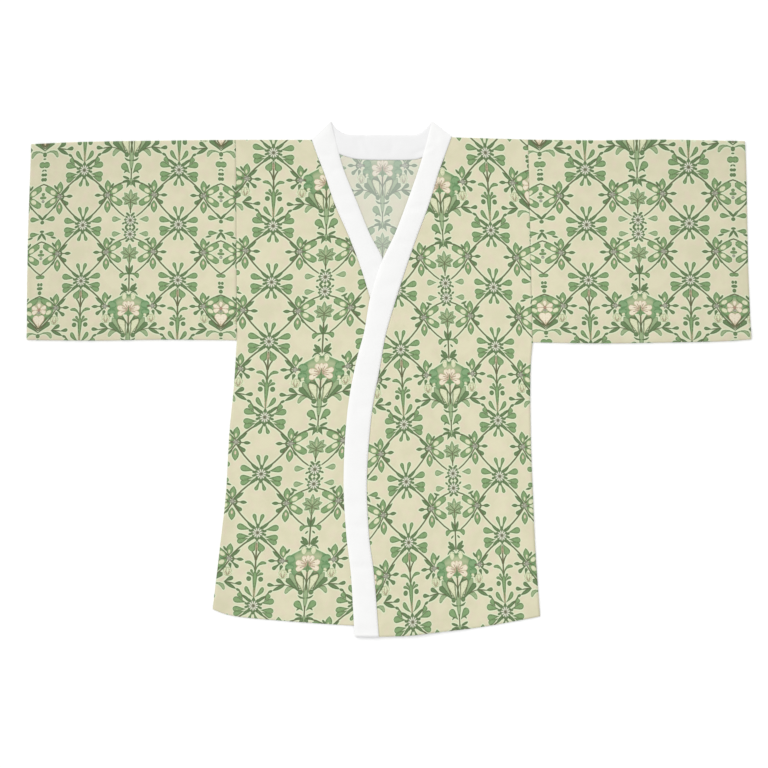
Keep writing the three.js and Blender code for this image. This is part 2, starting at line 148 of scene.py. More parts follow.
class SmoothLine:
    """A smooth curve of the plan through given points, with its own steady pace between them."""

    FINE_STEPS = 1200
    FINER_STEPS = 2400

    def __init__(self, knots: Sequence[Sequence[float]]) -> None:
        """Keeps the knots, each a pair (x, down)."""
        self.knots = np.array(knots, float)

    def at(self, shares: np.ndarray) -> np.ndarray:
        """Gives points of the curve.

        Args:
            shares: Places from 0 to 1, an even share for each stretch between two knots.

        Returns:
            One (x, down) row for each share.
        """
        spans = len(self.knots) - 1
        place = np.clip(np.asarray(shares, float), 0, 1) * spans
        low = np.minimum(place.astype(int), spans - 1)
        t = (place - low)[:, None]
        before, first, second, after = (self.knots[np.clip(low + k, 0, spans)] for k in (-1, 0, 1, 2))
        pull_in, pull_out = (second - before) / 2, (after - first) / 2
        return ((2 * first - 2 * second + pull_in + pull_out) * t**3
                + (3 * second - 3 * first - 2 * pull_in - pull_out) * t**2 + pull_in * t + first)

    def by_length(self, shares: np.ndarray) -> np.ndarray:
        """Gives points at given shares of the curve's length.

        Args:
            shares: Places from 0 to 1 along the curve, by its length.

        Returns:
            One (x, down) row for each share.
        """
        fine = np.linspace(0, 1, self.FINE_STEPS)
        points = self.at(fine)
        run = np.concatenate([[0], np.cumsum(np.linalg.norm(np.diff(points, axis=0), axis=1))])
        return self.at(np.interp(np.asarray(shares) * run[-1], run, fine))

    def at_down(self, downs: np.ndarray) -> np.ndarray:
        """Gives the points that lie at given distances down.

        Args:
            downs: Distances down.

        Returns:
            One (x, down) row for each distance.
        """
        points = self.at(np.linspace(0, 1, self.FINER_STEPS))
        order = np.argsort(points[:, 1], kind="stable")
        return np.stack([np.interp(downs, points[order, 1], points[order, 0]), downs], -1)


def smoothstep(value: np.ndarray, low: float, high: float) -> np.ndarray:
    """Rises softly from 0 at low to 1 at high."""
    t = np.clip((np.asarray(value, float) - low) / (high - low), 0, 1)
    return t * t * (3 - 2 * t)


def ridge_sum(rows: Iterable[Sequence[float]], x: np.ndarray, down: np.ndarray) -> np.ndarray:
    """Adds up soft ridges at points of the plan.

    Args:
        rows: Ridges as (x1, down1, x2, down2, half width, height).
        x: The points' places across.
        down: The points' distances down.

    Returns:
        The height that all the ridges add at each point.
    """
    total = np.zeros(np.broadcast(x, down).shape)
    for x1, down1, x2, down2, width, height in rows:
        run_x, run_down = x2 - x1, down2 - down1
        along = np.clip(((x - x1) * run_x + (down - down1) * run_down) / (run_x**2 + run_down**2), 0, 1)
        away = np.hypot(x - x1 - along * run_x, down - down1 - along * run_down)
        total += height * np.exp(-((away / width) ** 2))
    return total


def overlap_rise(x: np.ndarray, down: np.ndarray) -> np.ndarray:
    """The height that the left front gains to pass over the right neckband."""
    return OVERLAP_RISE * smoothstep(down, *RISE_DOWN) * (1 - smoothstep(x, *RISE_ACROSS))


def painted_shade_factor(x: np.ndarray, down: np.ndarray) -> np.ndarray:
    """How light the cloth's colour is under painted shade: a little darker towards its cuffs, shoulders and
    lower edges.

    Args:
        x: Places across on the plan.
        down: Distances down.

    Returns:
        A share of the cloth's full lightness for each point.
    """
    cuff = np.clip((np.abs(x) - CUFF_FROM) / CUFF_REACH, 0, 1) ** 2
    shoulder = 1 - smoothstep(down, *SHOULDER_DOWN)
    underside = smoothstep(down, *UNDERSIDE_DOWN) * smoothstep(np.abs(x), *UNDERSIDE_ACROSS)
    hem = smoothstep(down, *HEM_DOWN)
    return 1 - CUFF_PAINTED_SHADE * cuff - SHOULDER_PAINTED_SHADE * shoulder - UNDERSIDE_PAINTED_SHADE * underside - HEM_PAINTED_SHADE * hem


def plan_grid(top: np.ndarray, bottom: np.ndarray, left: np.ndarray, right: np.ndarray) -> np.ndarray:
    """Fills the plan between four edges.

    Args:
        top: Points of the top edge, one for each column.
        bottom: Points of the bottom edge, one for each column.
        left: Points of the left edge, one for each row.
        right: Points of the right edge, one for each row.

    Returns:
        A grid of (x, down) points, rows by columns.
    """
    v = ((left[:, 1] - left[0, 1]) / (left[-1, 1] - left[0, 1]))[:, None, None]
    u = ((top[:, 0] - top[0, 0]) / (top[-1, 0] - top[0, 0]))[None, :, None]
    sides = left[:, None] * (1 - u) + right[:, None] * u
    ends = top[None] * (1 - v) + bottom[None] * v
    corners = (top[0] * (1 - u) + top[-1] * u) * (1 - v) + (bottom[0] * (1 - u) + bottom[-1] * u) * v
    return sides + ends - corners


def band_rows(stations: Sequence[Sequence[float]], per_station: int) -> tuple[np.ndarray, np.ndarray]:
    """Gives the two edges of a stretch of neckband.

    Args:
        stations: Rows of the band: the seam's (x, down) and the free edge's.
        per_station: How many steps lie between two rows.

    Returns:
        The seam's points and the free edge's.
    """
    shares = np.linspace(0, 1, (len(stations) - 1) * per_station + 1)
    rows = np.array(stations, float)
    return SmoothLine(rows[:, :2]).at(shares), SmoothLine(rows[:, 2:]).at(shares)


def beside_seam(seam: np.ndarray, free: np.ndarray) -> np.ndarray:
    """The edge of a panel along the neckband's seam, just beside it.

    Args:
        seam: The seam's points.
        free: The points of the band's free edge, on the other side from the panel.

    Returns:
        The panel's edge, a point for each of the seam's.
    """
    run = np.empty_like(seam)
    run[1:-1] = seam[2:] - seam[:-2]
    run[0], run[-1] = seam[1] - seam[0], seam[-1] - seam[-2]
    run /= np.linalg.norm(run, axis=1)[:, None]
    away = np.stack([run[:, 1], -run[:, 0]], -1)
    away[(away * (free - seam)).sum(1) > 0] *= -1
    return seam + away * SEAM


class Facing(Enum):
    """Which side of a wall the cloth's printed face is on."""

    UP = 1
    DOWN = -1


@dataclass(frozen=True)
class PrintLay:
    """How the print lies on a panel: smooth sums of the place on the plan, in units of 100 mm."""

    across: tuple[float, ...]
    along: tuple[float, ...]

    def at(self, x: np.ndarray, down: np.ndarray) -> np.ndarray:
        """Gives the place in the print for points of the plan.

        Args:
            x: The points' places across.
            down: The points' distances down.

        Returns:
            Places across and along the print, in its own millimetres.
        """
        x, y = x / 100, down / 100
        terms = (np.ones_like(x), x, y, x * y, y * y, x * x, y**3, x * y * y)
        return np.stack([sum(k * term for k, term in zip(weights, terms))
                         for weights in (self.across, self.along)], -1)


RIGHT_FRONT_LAY = PrintLay((-127.016, -99.634, 4.742, 1.416, -1.453, 0.33, 0.048, -0.162),
                           (-16.406, 13.91, 107.412, 1.39, -1.364, 3.97, 0.072, -0.134))
LEFT_FRONT_LAY = PrintLay((-95.943, 104.185, -12.281, 1.567, 1.218, 0.642, -0.063, -0.093),
                          (-34.904, 11.938, 95.785, -0.742, 1.036, -3.455, -0.091, 0.165))
RIGHT_SLEEVE_LAY = PrintLay((-548.235, -101.673, 3.73, 1.211, 0.053, 0.99),
                            (51.623, -15.241, 101.013, 0.145, 1.268, -1.519))
LEFT_SLEEVE_LAY = PrintLay((-492.914, 97.942, -4.337, 0.606, -0.293, 0.341),
                           (66.554, 8.389, 101.097, -0.859, 1.965, -0.565))
BACK_LAY = PrintLay((15.0, 115.0), (4.3, 0.0, 100.0))


@dataclass
class Cloth:
    """The two sides of a wall of cloth as grids of points, ready to become a mesh.

    The chart holds each point's place in the print, and rounding how far the first and last rows and
    the first and last columns are drawn in, in millimetres.
    """

    outer: np.ndarray
    inner: np.ndarray
    chart: np.ndarray
    tube: bool = False
    rounding: tuple[float, float, float, float] = (0.3, 0.3, 0.12, 0.12)

    def _drawn_in(self, grid: np.ndarray) -> np.ndarray:
        """Moves the rim of one side in a little, so that the edge of the cloth is round.

        Args:
            grid: The side's points.

        Returns:
            A copy of them with its rim drawn in.
        """
        grid = grid.copy()
        first, last, start, end = self.rounding

        def pull(edge: np.ndarray, beside: np.ndarray, amount: float) -> np.ndarray:
            """The way in from an edge, as long as the amount."""
            step = beside - edge
            return step / np.linalg.norm(step, axis=-1, keepdims=True) * amount

        rows = pull(grid[0], grid[1], first), pull(grid[-1], grid[-2], last)
        if not self.tube:
            columns = pull(grid[:, 0], grid[:, 1], start), pull(grid[:, -1], grid[:, -2], end)
            grid[:, 0] += columns[0]
            grid[:, -1] += columns[1]
        grid[0] += rows[0]
        grid[-1] += rows[1]
        return grid

    def mesh(self, name: str) -> bpy.types.Mesh:
        """Makes the closed mesh, with face material 0 on the outer side and 1 on the inner.

        Args:
            name: The mesh's name.

        Returns:
            A mesh in metres with a UV map named print, in the print's millimetres, and a tone attribute
            that holds painted shade.
        """
        rows, columns = self.outer.shape[:2]
        spans = columns if self.tube else columns - 1
        middle = (self.outer + self.inner) / 2
        points = [self._drawn_in(self.outer).reshape(-1, 3), self._drawn_in(self.inner).reshape(-1, 3)]
        count = rows * columns
        i, j = (a.ravel() for a in np.meshgrid(np.arange(rows - 1), np.arange(spans), indexing="ij"))

        def index(r: np.ndarray, c: np.ndarray) -> np.ndarray:
            """The number of the point in a row and column."""
            return r * columns + c % columns

        corner = [(i, j), (i, j + 1), (i + 1, j + 1), (i + 1, j)]
        outer = np.stack([index(r, c) for r, c in corner], -1)
        outer_uv = np.stack([self.chart[r, c] for r, c in corner], 1)
        faces = [outer, outer[:, ::-1] + count]
        charts = [outer_uv, outer_uv[:, ::-1]]
        sides = [np.zeros(len(outer), int), np.ones(len(outer), int)]
        used = 2 * count
        for r, c in self._rims(rows, columns):
            ring = index(r, c)
            closed = ring[0] == ring[-1]
            own = len(ring) - 1 if closed else len(ring)
            points.append(middle[r[:own], c[:own] % columns])
            rim = used + np.arange(len(ring)) % own
            used += own
            uv = self.chart[r, c]
            for near, far, side in ((ring, rim, 0), (rim, ring + count, 1)):
                faces.append(np.stack([near[1:], near[:-1], far[:-1], far[1:]], -1))
                charts.append(np.stack([uv[1:], uv[:-1], uv[:-1], uv[1:]], 1))
                sides.append(np.full(len(ring) - 1, side))
        vertices = np.concatenate(points) * MM
        quads = np.concatenate(faces)
        chart = np.concatenate(charts)
        if _volume(vertices, quads) < 0:
            quads, chart = quads[:, ::-1], chart[:, ::-1]
        mesh = bpy.data.meshes.new(name)
        mesh.from_pydata(vertices.tolist(), [], quads.tolist())
        mesh.polygons.foreach_set("material_index", np.concatenate(sides).astype(np.int32))
        mesh.polygons.foreach_set("use_smooth", np.ones(len(quads), bool))
        mesh.uv_layers.new(name="print").data.foreach_set("uv", chart.reshape(-1).astype(np.float32))
        # Painted shade: the tone attribute darkens the cloth's colour towards the cuffs, shoulders, sleeve
        # undersides and hem
        tone = painted_shade_factor(vertices[:, 0] / MM, SHOULDER_Y - vertices[:, 1] / MM)
        mesh.attributes.new("tone", "FLOAT", "POINT").data.foreach_set("value", tone.astype(np.float32))
        mesh.update()
        return mesh

    def _rims(self, rows: int, columns: int) -> list[tuple[np.ndarray, np.ndarray]]:
        """Follows the rim in the order in which the outer faces pass it.

        Args:
            rows: How many rows the grid has.
            columns: How many columns it has.

        Returns:
            The rows and columns of each closed rim: two on a tube, and one on a panel.
        """
        if self.tube:
            ring = np.arange(columns + 1)
            return [(np.zeros_like(ring), ring), (np.full_like(ring, rows - 1), ring[::-1])]
        top, side = np.arange(columns), np.arange(rows)
        r = np.concatenate([top * 0, side[1:], top[1:] * 0 + rows - 1, side[-2::-1]])
        c = np.concatenate([top, side[1:] * 0 + columns - 1, top[-2::-1], side[1:] * 0])
        return [(r, c)]


def _volume(vertices: np.ndarray, quads: np.ndarray) -> float:
    """Six times the volume that the faces enclose, negative where they point inwards."""
    a, b, c, d = (vertices[quads[:, k]] for k in range(4))
    return float((a * np.cross(b, c)).sum() + (a * np.cross(c, d)).sum())


def lift(plan: np.ndarray, height: np.ndarray) -> np.ndarray:
    """Turns plan points and their heights into points of the robe's frame, in millimetres."""
    return np.stack([plan[..., 0], SHOULDER_Y - plan[..., 1], height], -1)


@dataclass(frozen=True)
class Side:
    """One side of the robe: its side seam, hem and sleeve edges as rows of (x, down)."""

    outward: int
    armhole_x: float
    seam: tuple[tuple[float, float], ...]
    hem: tuple[tuple[float, float], ...]
    sleeve_top: tuple[tuple[float, float], ...]
    sleeve_under: tuple[tuple[float, float], ...]
    cuff: tuple[tuple[float, float], ...]

    def armhole(self, down: np.ndarray) -> np.ndarray:
        """The armhole's place across at distances down."""
        underarm_x, underarm = self.seam[0]
        return self.armhole_x + (underarm_x - self.armhole_x) * np.asarray(down, float) / underarm

    def edge(self, shares: np.ndarray, end: float) -> np.ndarray:
        """Points of the panel's side edge, with one of them just at the underarm.

        Args:
            shares: For each row, the share of the panel's length that lies above it.
            end: The distance down at which the edge ends.

        Returns:
            One (x, down) row for each share.
        """
        underarm, start = self.seam[0][1], self.sleeve_top[0][1]
        corner = shares[shares >= (underarm - start) / (end - start)][0]
        down = np.where(shares <= corner, start + (underarm - start) * shares / corner,
                        underarm + (end - underarm) * (shares - corner) / (1 - corner))
        below = SmoothLine(self.seam).at_down(down)[:, 0]
        return np.stack([np.where(down > underarm, below, self.armhole(down)), down], -1)


RIGHT = Side(
    -1, -306,
    ((-304, ARMHOLE), (-310, 493), (-319, 588), (-326, 708), (-338, 816), (-352.5, 938.5)),
    ((-322, 949.5), (-274, 956.5), (-154, 966), (-75, 971)),
    ((-306, 0.5), (-450, 2), (-608, 4.5), (-715, 9)),
    ((-304, ARMHOLE), (-450, ARMHOLE - 1.5), (-590, ARMHOLE + 0.5), (-SPAN / 2, ARMHOLE - 1)),
    ((-715, 9), (-722, 213), (-SPAN / 2, ARMHOLE - 1)),
)
LEFT = Side(
    1, 278,
    ((287, ARMHOLE + 4), (282.5, 470), (283.5, 600), (288, 720), (293, 828), (302, 952.5)),
    ((278, 957.5), (182, 974.5), (86, 986), (38, 991.5)),
    ((278, 0), (422, 1.5), (542, 0), (711, 3)),
    ((287, ARMHOLE + 4), (422, ARMHOLE + 6), (542, ARMHOLE + 4.5), (662, ARMHOLE + 2),
     (SPAN / 2, ARMHOLE - 2)),
    ((711, 3), (714, 60), (718, 258), (SPAN / 2, ARMHOLE - 2)),
)


class Value:
    """A number that changes over a surface: a socket whose arithmetic adds Math nodes."""

    def __init__(self, dye: "Dye", socket: bpy.types.NodeSocket) -> None:
        """Wraps a socket of a material."""
        self.dye, self.socket = dye, socket

    def _with(self, operation: str, *others: "Value | float", first: bool = True) -> "Value":
        """Adds one Math node.

        Args:
            operation: What it works out.
            others: Its other inputs.
            first: Whether this value is its first input or its last.

        Returns:
            The node's result.
        """
        values = (self, *others) if first else (*others, self)
        inputs = dict(enumerate(values))
        return self.dye.node("ShaderNodeMath", {"operation": operation}, inputs)

    def __add__(self, other: "Value | float") -> "Value":
        """This plus other."""
        return self._with("ADD", other)

    def __radd__(self, other: float) -> "Value":
        """Other plus this."""
        return self._with("ADD", other)

    def __sub__(self, other: "Value | float") -> "Value":
        """This less other."""
        return self._with("SUBTRACT", other)

    def __rsub__(self, other: float) -> "Value":
        """Other less this."""
        return self._with("SUBTRACT", other, first=False)

    def __mul__(self, other: "Value | float") -> "Value":
        """This times other."""
        return self._with("MULTIPLY", other)

    def __rmul__(self, other: float) -> "Value":
        """Other times this."""
        return self._with("MULTIPLY", other)

    def __abs__(self) -> "Value":
        """The size of this without its sign."""
        return self._with("ABSOLUTE")

    def over(self, limit: float) -> "Value":
        """1 where this is more than limit, and 0 elsewhere."""
        return self._with("GREATER_THAN", limit)

    def wrapped(self, low: float, high: float) -> "Value":
        """This, repeated between low and high."""
        return self._with("WRAP", high, low)

    def folded(self, length: float) -> "Value":
        """This, mirrored to and fro between 0 and length."""
        return self._with("PINGPONG", length)

    def or_more(self, other: "Value") -> "Value":
        """The greater of this and other."""
        return self._with("MAXIMUM", other)

    def or_less(self, other: float) -> "Value":
        """The lesser of this and other."""
        return self._with("MINIMUM", other)

    def ramp(self, low: float, high: float) -> "Value":
        """Rises from 0 at low to 1 at high, and stays between them."""
        return self.dye.node("ShaderNodeMath", {"operation": "MULTIPLY_ADD", "use_clamp": True},
                             {0: self, 1: 1 / (high - low), 2: -low / (high - low)})

    def cosine(self) -> "Value":
        """The cosine of this angle."""
        return self._with("COSINE")

    def sine(self) -> "Value":
        """The sine of this angle."""
        return self._with("SINE")


Colour = tuple[float, float, float]

# How much brighter than its own colour a matt cloth looks in the studio
STUDIO_LIGHT = 1.15


def srgb(red: int, green: int, blue: int) -> Colour:
    """The colour of a cloth that looks like these screen values, 0 to 255, in the studio's light."""
    return tuple((c / 12.92 if c <= 0.04045 else ((c + 0.055) / 1.055) ** 2.4) / STUDIO_LIGHT
                 for c in (red / 255, green / 255, blue / 255))


class Dye:
    """The nodes of one material, added in the order in which they are worked out."""

    def __init__(self, name: str) -> None:
        """Starts an empty material.

        Args:
            name: The material's name.
        """
        self.material = bpy.data.materials.new(name)
        self.material.use_nodes = True
        self.tree = self.material.node_tree
        self.tree.nodes.clear()

    def node(self, kind: str, settings: dict[str, Any], inputs: dict[Any, Any], output: Any = 0) -> Value:
        """Adds a node.

        Args:
            kind: The node's type.
            settings: Its properties, which are set first.
            inputs: Values or links of its sockets, by name or number.
            output: The output socket that is wanted.

        Returns:
            That output, ready for arithmetic.
        """
        made = self.tree.nodes.new(kind)
        for key, value in settings.items():
            setattr(made, key, value)
        for key, value in inputs.items():
            if isinstance(value, Value):
                self.tree.links.new(value.socket, made.inputs[key])
            else:
                made.inputs[key].default_value = value
        return Value(self, made.outputs[output])

    def curve(self, value: Value, points: Sequence[tuple[float, float]]) -> Value:
        """Looks a value up on a line of straight stretches.

        Args:
            value: The value to look up, from 0 to 1.
            points: The line's points, each between 0 and 1.

        Returns:
            The line's height at the value.
        """
        looked_up = self.node("ShaderNodeFloatCurve", {}, {"Value": value})
        mapping = looked_up.socket.node.mapping
        line = mapping.curves[0]
        line.points[0].location, line.points[1].location = points[0], points[-1]
        for x, y in points[1:-1]:
            line.points.new(x, y)
        for point in line.points:
            point.handle_type = "VECTOR"
        mapping.update()
        return looked_up

    def mixed(self, share: Value | float, first: Value | Colour, second: Value | Colour,
              blend: str = "MIX") -> Value:
        """Mixes two colours.

        Args:
            share: How much of the second there is.
            first: The first colour.
            second: The second colour.
            blend: How they are blended.

        Returns:
            The mixed colour.
        """
        colours = [c if isinstance(c, Value) else (*c, 1.0) for c in (first, second)]
        return self.node("ShaderNodeMix", {"data_type": "RGBA", "blend_type": blend},
                         {0: share, 6: colours[0], 7: colours[1]}, output=2)

    def triple(self, x: Value, y: Value) -> Value:
        """A vector of two values and 1, so that one dot product gives a shifted straight measure."""
        return self.node("ShaderNodeCombineXYZ", {}, {0: x, 1: y, 2: 1.0})

    def dot(self, vector: Value, weights: tuple[float, float, float]) -> Value:
        """The dot product of a vector and fixed weights."""
        return self.node("ShaderNodeVectorMath", {"operation": "DOT_PRODUCT"}, {0: vector, 1: weights},
                         output="Value")

    def finished(self, shader: Value) -> bpy.types.Material:
        """Joins the shader to the material's output.

        Args:
            shader: The shader's socket.

        Returns:
            The material.
        """
        end = self.tree.nodes.new("ShaderNodeOutputMaterial")
        self.tree.links.new(shader.socket, end.inputs["Surface"])
        return self.material

    def noise(self, vector: Value, scale: float, detail: float = 2.0) -> Value:
        """Soft unevenness from 0 to 1."""
        return self.node("ShaderNodeTexNoise", {"noise_dimensions": "2D"},
                         {"Vector": vector, "Scale": scale, "Detail": detail}, output="Fac")


class Ink(Enum):
    """The colours of the print, in the order in which they lie on each other.

    Each has a middle tone, a tone for its outline, how deep the outline's tone fades inwards,
    and how soft its edge is, in millimetres.
    """

    BODY = (srgb(138, 168, 122), srgb(112, 150, 102), 8.0, 1.0)
    GLOW = (srgb(186, 194, 154), srgb(186, 194, 154), 1.0, 14.0)
    LOBE = (srgb(136, 170, 124), srgb(96, 138, 90), 4.5, 1.2)
    PALE_LEAF = (srgb(160, 182, 138), srgb(112, 136, 96), 2.6, 1.0)
    STEM = (srgb(122, 124, 92), srgb(96, 98, 66), 2.0, 1.0)
    LEAF = (srgb(136, 168, 117), srgb(98, 119, 78), 3.2, 1.0)
    DARK = (srgb(110, 138, 94), srgb(92, 110, 74), 2.6, 1.0)
    BUD = (srgb(226, 228, 192), srgb(160, 174, 130), 1.6, 0.8)
    DAISY = (srgb(230, 229, 210), srgb(166, 168, 146), 1.8, 0.8)
    PETAL = (srgb(240, 231, 206), srgb(190, 170, 138), 1.8, 0.8)
    BLUSH = (srgb(176, 146, 126), srgb(160, 130, 110), 2.0, 0.8)
    LILAC = (srgb(184, 184, 166), srgb(112, 118, 96), 2.4, 0.8)


class Outline(Enum):
    """How wide a leaf is along its length, as shares of its length and of its half width."""

    LENS = ((0, 0), (0.12, 0.42), (0.3, 0.84), (0.5, 1), (0.7, 0.84), (0.88, 0.42), (1, 0))
    OVAL = ((0, 0), (0.04, 0.4), (0.14, 0.7), (0.3, 0.92), (0.5, 1), (0.7, 0.92), (0.86, 0.7),
            (0.96, 0.4), (1, 0))
    DROP = ((0, 0), (0.2, 0.26), (0.42, 0.64), (0.62, 0.93), (0.76, 1), (0.88, 0.86), (0.96, 0.52),
            (1, 0))
    CLUB = ((0, 0.2), (0.4, 0.38), (0.62, 0.7), (0.8, 1), (0.92, 0.84), (0.98, 0.4), (1, 0))
    LINE = ((0, 0.5), (0.06, 1), (0.94, 1), (1, 0.5))
    SPIKE = ((0, 0.3), (0.14, 1), (0.4, 0.8), (0.75, 0.34), (1, 0))
    BLUNT = ((0, 0.1), (0.4, 0.5), (0.8, 1), (0.94, 0.98), (1, 0.3))
    BEAN = ((0, 0.3), (0.12, 0.72), (0.3, 0.96), (0.7, 1), (0.88, 0.9), (0.97, 0.6), (1, 0.2))


@dataclass(frozen=True)
class Stroke:
    """One leaf, petal or stem of the print, from a start to an end, with its half width and bow.

    Its field is EDGE on its outline and grows inwards by 1 in REACH millimetres. It is drawn as far as
    MARGIN past its ends. BOW is the share of the bow at shares of the length, and TAIL past the ends.
    """

    ink: Ink
    outline: Outline
    start: tuple[float, float]
    end: tuple[float, float]
    half: float
    bow: float = 0.0

    MARGIN = 8.0
    REACH = 40.0
    EDGE = 0.2
    LEVEL = 0.5
    BOW = ((0, 0), (0.25, 0.75), (0.5, 1), (0.75, 0.75), (1, 0))
    TAIL = -0.2

    def field(self, dye: Dye, place: Value) -> Value:
        """Draws the stroke as a field.

        Args:
            dye: The material's nodes.
            place: The place in the print as a vector (across, along, 1).

        Returns:
            The stroke's field.
        """
        (x0, y0), (x1, y1) = self.start, self.end
        length = math.hypot(x1 - x0, y1 - y0)
        run_x, run_y = (x1 - x0) / length, (y1 - y0) / length
        whole = length + 2 * self.MARGIN
        offset = self.MARGIN - run_x * x0 - run_y * y0
        u = dye.dot(place, (run_x / whole, run_y / whole, offset / whole))
        shift = (run_y * x0 - run_x * y0) / self.REACH
        if self.bow:
            v = dye.dot(place, (-run_y / self.REACH, run_x / self.REACH, shift + self.LEVEL))
            tail = self.LEVEL + self.TAIL * self.bow / self.REACH
            bend = [((self.MARGIN + t * length) / whole, self.LEVEL + self.bow * rise / self.REACH)
                    for t, rise in self.BOW]
            v = v - dye.curve(u, [(0, tail), *bend, (1, tail)])
        else:
            v = dye.dot(place, (-run_y / self.REACH, run_x / self.REACH, shift))
        widths = [((self.MARGIN + t * length) / whole, self.EDGE + w * self.half / self.REACH)
                  for t, w in self.outline.value]
        return dye.curve(u, [(0.0, 0.0), *widths, (1.0, 0.0)]) - abs(v)


def strokes(ink: Ink, outline: Outline, *rows: Sequence[float]) -> list[Stroke]:
    """Strokes of one ink and outline from rows (x0, y0, x1, y1, half width, bow)."""
    return [Stroke(ink, outline, tuple(r[:2]), tuple(r[2:4]), *r[4:]) for r in rows]


class Trellis:
    """A trellis of small leaves and flowers: a repeat 392 mm wide and 381 mm high, mirrored.

    Across, the bouquet column stands at 0, the star column at 105 and the narrow column at 196.
    Along, the stars lie at 0, 150 and 263, and the trellis crosses between them.
    """

    HALF_REPEAT = 196.0
    REPEAT = 381.0
    STAR_COLUMN = 105.0
    STAR_ROWS = (0.0, 150.0, 263.0, 381.0)
    CROSSING_ASIDE = 54.5
    CROSSING_ROWS = (56.0, 202.0, 321.0, 437.0)
    BOUQUET_START = -193.0
    NARROW_START = -5.0
    SERRATED_ROWS = (-169.5, -56.0)
    TWIN_DAISIES = -111.5
    TWIN_APART = 14.5
    # How far aside the strokes go that a bouquet covers
    OUT_OF_SIGHT = 200.0

    # A daisy's petals, the radius in the middle of their swing, the swing and the greatest radius, the
    # same of its dark edge, and the radii of its core and eye
    PETALS = 11
    PETAL_RADIUS, PETAL_SWING, PETAL_END = 9.4, 6.0, 10.2
    SHADE_RADIUS, SHADE_SWING = 12.4, -1.4
    CORE, EYE = 3.6, 1.8

    # How far the inks spread, how wide the pale halo round them is and its soft edge, all in
    # millimetres, and how uneven the inks are
    SPREAD = 0.3
    HALO = 3.8
    HALO_EDGE = 2.2
    BRUSH = 1.5

    # Round each star, by the distances from its column and from its row, both without sign
    STAR = (
        strokes(Ink.DARK, Outline.LENS, (5, 6, 22.5, 21.5, 3.0))
        + strokes(Ink.DARK, Outline.OVAL, (11, 2.6, 18, 4.4, 2.2))
        + strokes(Ink.DARK, Outline.SPIKE, (0, 10, 0, 19, 3.4), (5, 8, 9.5, 15, 2.0))
    )
    # Beside each star, by the distance from its column and the distance along from its row
    STAR_LEAVES = (
        strokes(Ink.LEAF, Outline.DROP, (15, -6, 42, -12, 6.2), (15, 8, 42, 9.5, 5.8),
                (18, 12, 40, 21, 5.4))
    )
    # On the star column, by the distance from it and the distance along the repeat
    COLUMN = (
        strokes(Ink.STEM, Outline.LINE, (14, 15, 55, 56, 1.3, -2.6), (14, 165, 55, 202, 1.3, -2.6),
                (14, 278, 55, 321, 1.3, -2.6), (14, 248, 55, 202, 1.3, 2.6), (14, 366, 55, 321, 1.3, 2.6),
                (0, 20, 0, 88, 1.4), (9, 38, 1, 56, 1.2, 1.5), (60, 104, 42, 106.5, 0.9),
                (30, 121, 15, 137, 1.3, -1.5))
        + strokes(Ink.LEAF, Outline.SPIKE, (0, 78, 0, 136, 4.6))
        + strokes(Ink.LEAF, Outline.DROP, (2, 17, 12.5, 37.5, 7.4), (22, 139, 32, 125, 5.0),
                  (2, 132, 18.5, 111, 4.3, 2))
        + strokes(Ink.LEAF, Outline.CLUB, (1, 251, 9.5, 225, 3.8), (1, 369, 9.5, 343, 3.8),
                  (1, 162, 9.5, 183, 3.7), (1, 275, 9.5, 296, 3.7), (1, 77, 21.5, 60, 3.8, -6),
                  (1, 93, 16.5, 82, 2.8, -2), (1, 91, 9, 75, 2.5))
        + strokes(Ink.DARK, Outline.OVAL, (7.2, 94.5, 17.2, 94.5, 4.8), (37, 117, 29, 121, 2.3))
        + strokes(Ink.DARK, Outline.DROP, (62, 104, 44, 93.5, 4.2), (43, 107, 26, 104.5, 3.7))
        + strokes(Ink.DARK, Outline.LENS, (63, 104, 37, 117.5, 3.6))
        + strokes(Ink.LEAF, Outline.LENS, (54, 213, 53.5, 239, 7.0), (54, 333, 53.5, 359, 7.0))
        + strokes(Ink.DARK, Outline.SPIKE, (53, 65, 49.5, 76, 3.4))
        + strokes(Ink.BUD, Outline.OVAL, (46.5, 83, 65.5, 83, 9.4))
    )
    COLUMN_LIGHTS = (
        strokes(Ink.PETAL, Outline.OVAL, (54, 219, 54, 227, 2.0), (54, 339, 54, 347, 2.0))
        + strokes(Ink.BUD, Outline.DROP, (56, 92, 49.5, 78, 3.0), (56.5, 92, 56, 75, 3.0),
                  (57, 92, 63, 79, 3.0))
        + strokes(Ink.BLUSH, Outline.LINE, (55, 90, 51.5, 81, 0.4), (57, 90, 61, 82, 0.4))
        + strokes(Ink.PETAL, Outline.LENS, (1.6, 36, 1.2, 22, 0.6), (2.6, 112, 1.2, 133, 0.7))
    )
    # At each crossing, by the distance outwards from it and the distance along without sign
    CROSSING = (
        strokes(Ink.DARK, Outline.OVAL, (6, 15, 12.5, 24, 2.0))
        + strokes(Ink.DARK, Outline.LENS, (-30, 0, -15, 0, 3.2), (-11, 1, -4, 7, 1.8))
        + strokes(Ink.STEM, Outline.LINE, (-17, 0, -4, 0, 0.9), (0, 0, 10, 0, 2.0))
    )
    CROSSING_LIGHTS = (
        strokes(Ink.LILAC, Outline.LENS, (-7.5, 0, 7.5, 0, 2.6), (-5, 5, 5, -5, 2.2), (0, -7, 0, 7, 2.4))
    )
    # The eyed lobes beyond each crossing, but not where the bouquet covers them
    LOBES = strokes(Ink.LEAF, Outline.BEAN, (5, 3.0, 31.5, 19.5, 6.8, 0.6))
    LOBE_STEMS = strokes(Ink.STEM, Outline.LINE, (-1, -3, 42, -28.5, 1.1, -3.5), (-1, 3, 38, 45, 1.1, 3.5))
    LOBE_EYES = strokes(Ink.BUD, Outline.OVAL, (9.2, 5.4, 20.5, 12.4, 4.7))
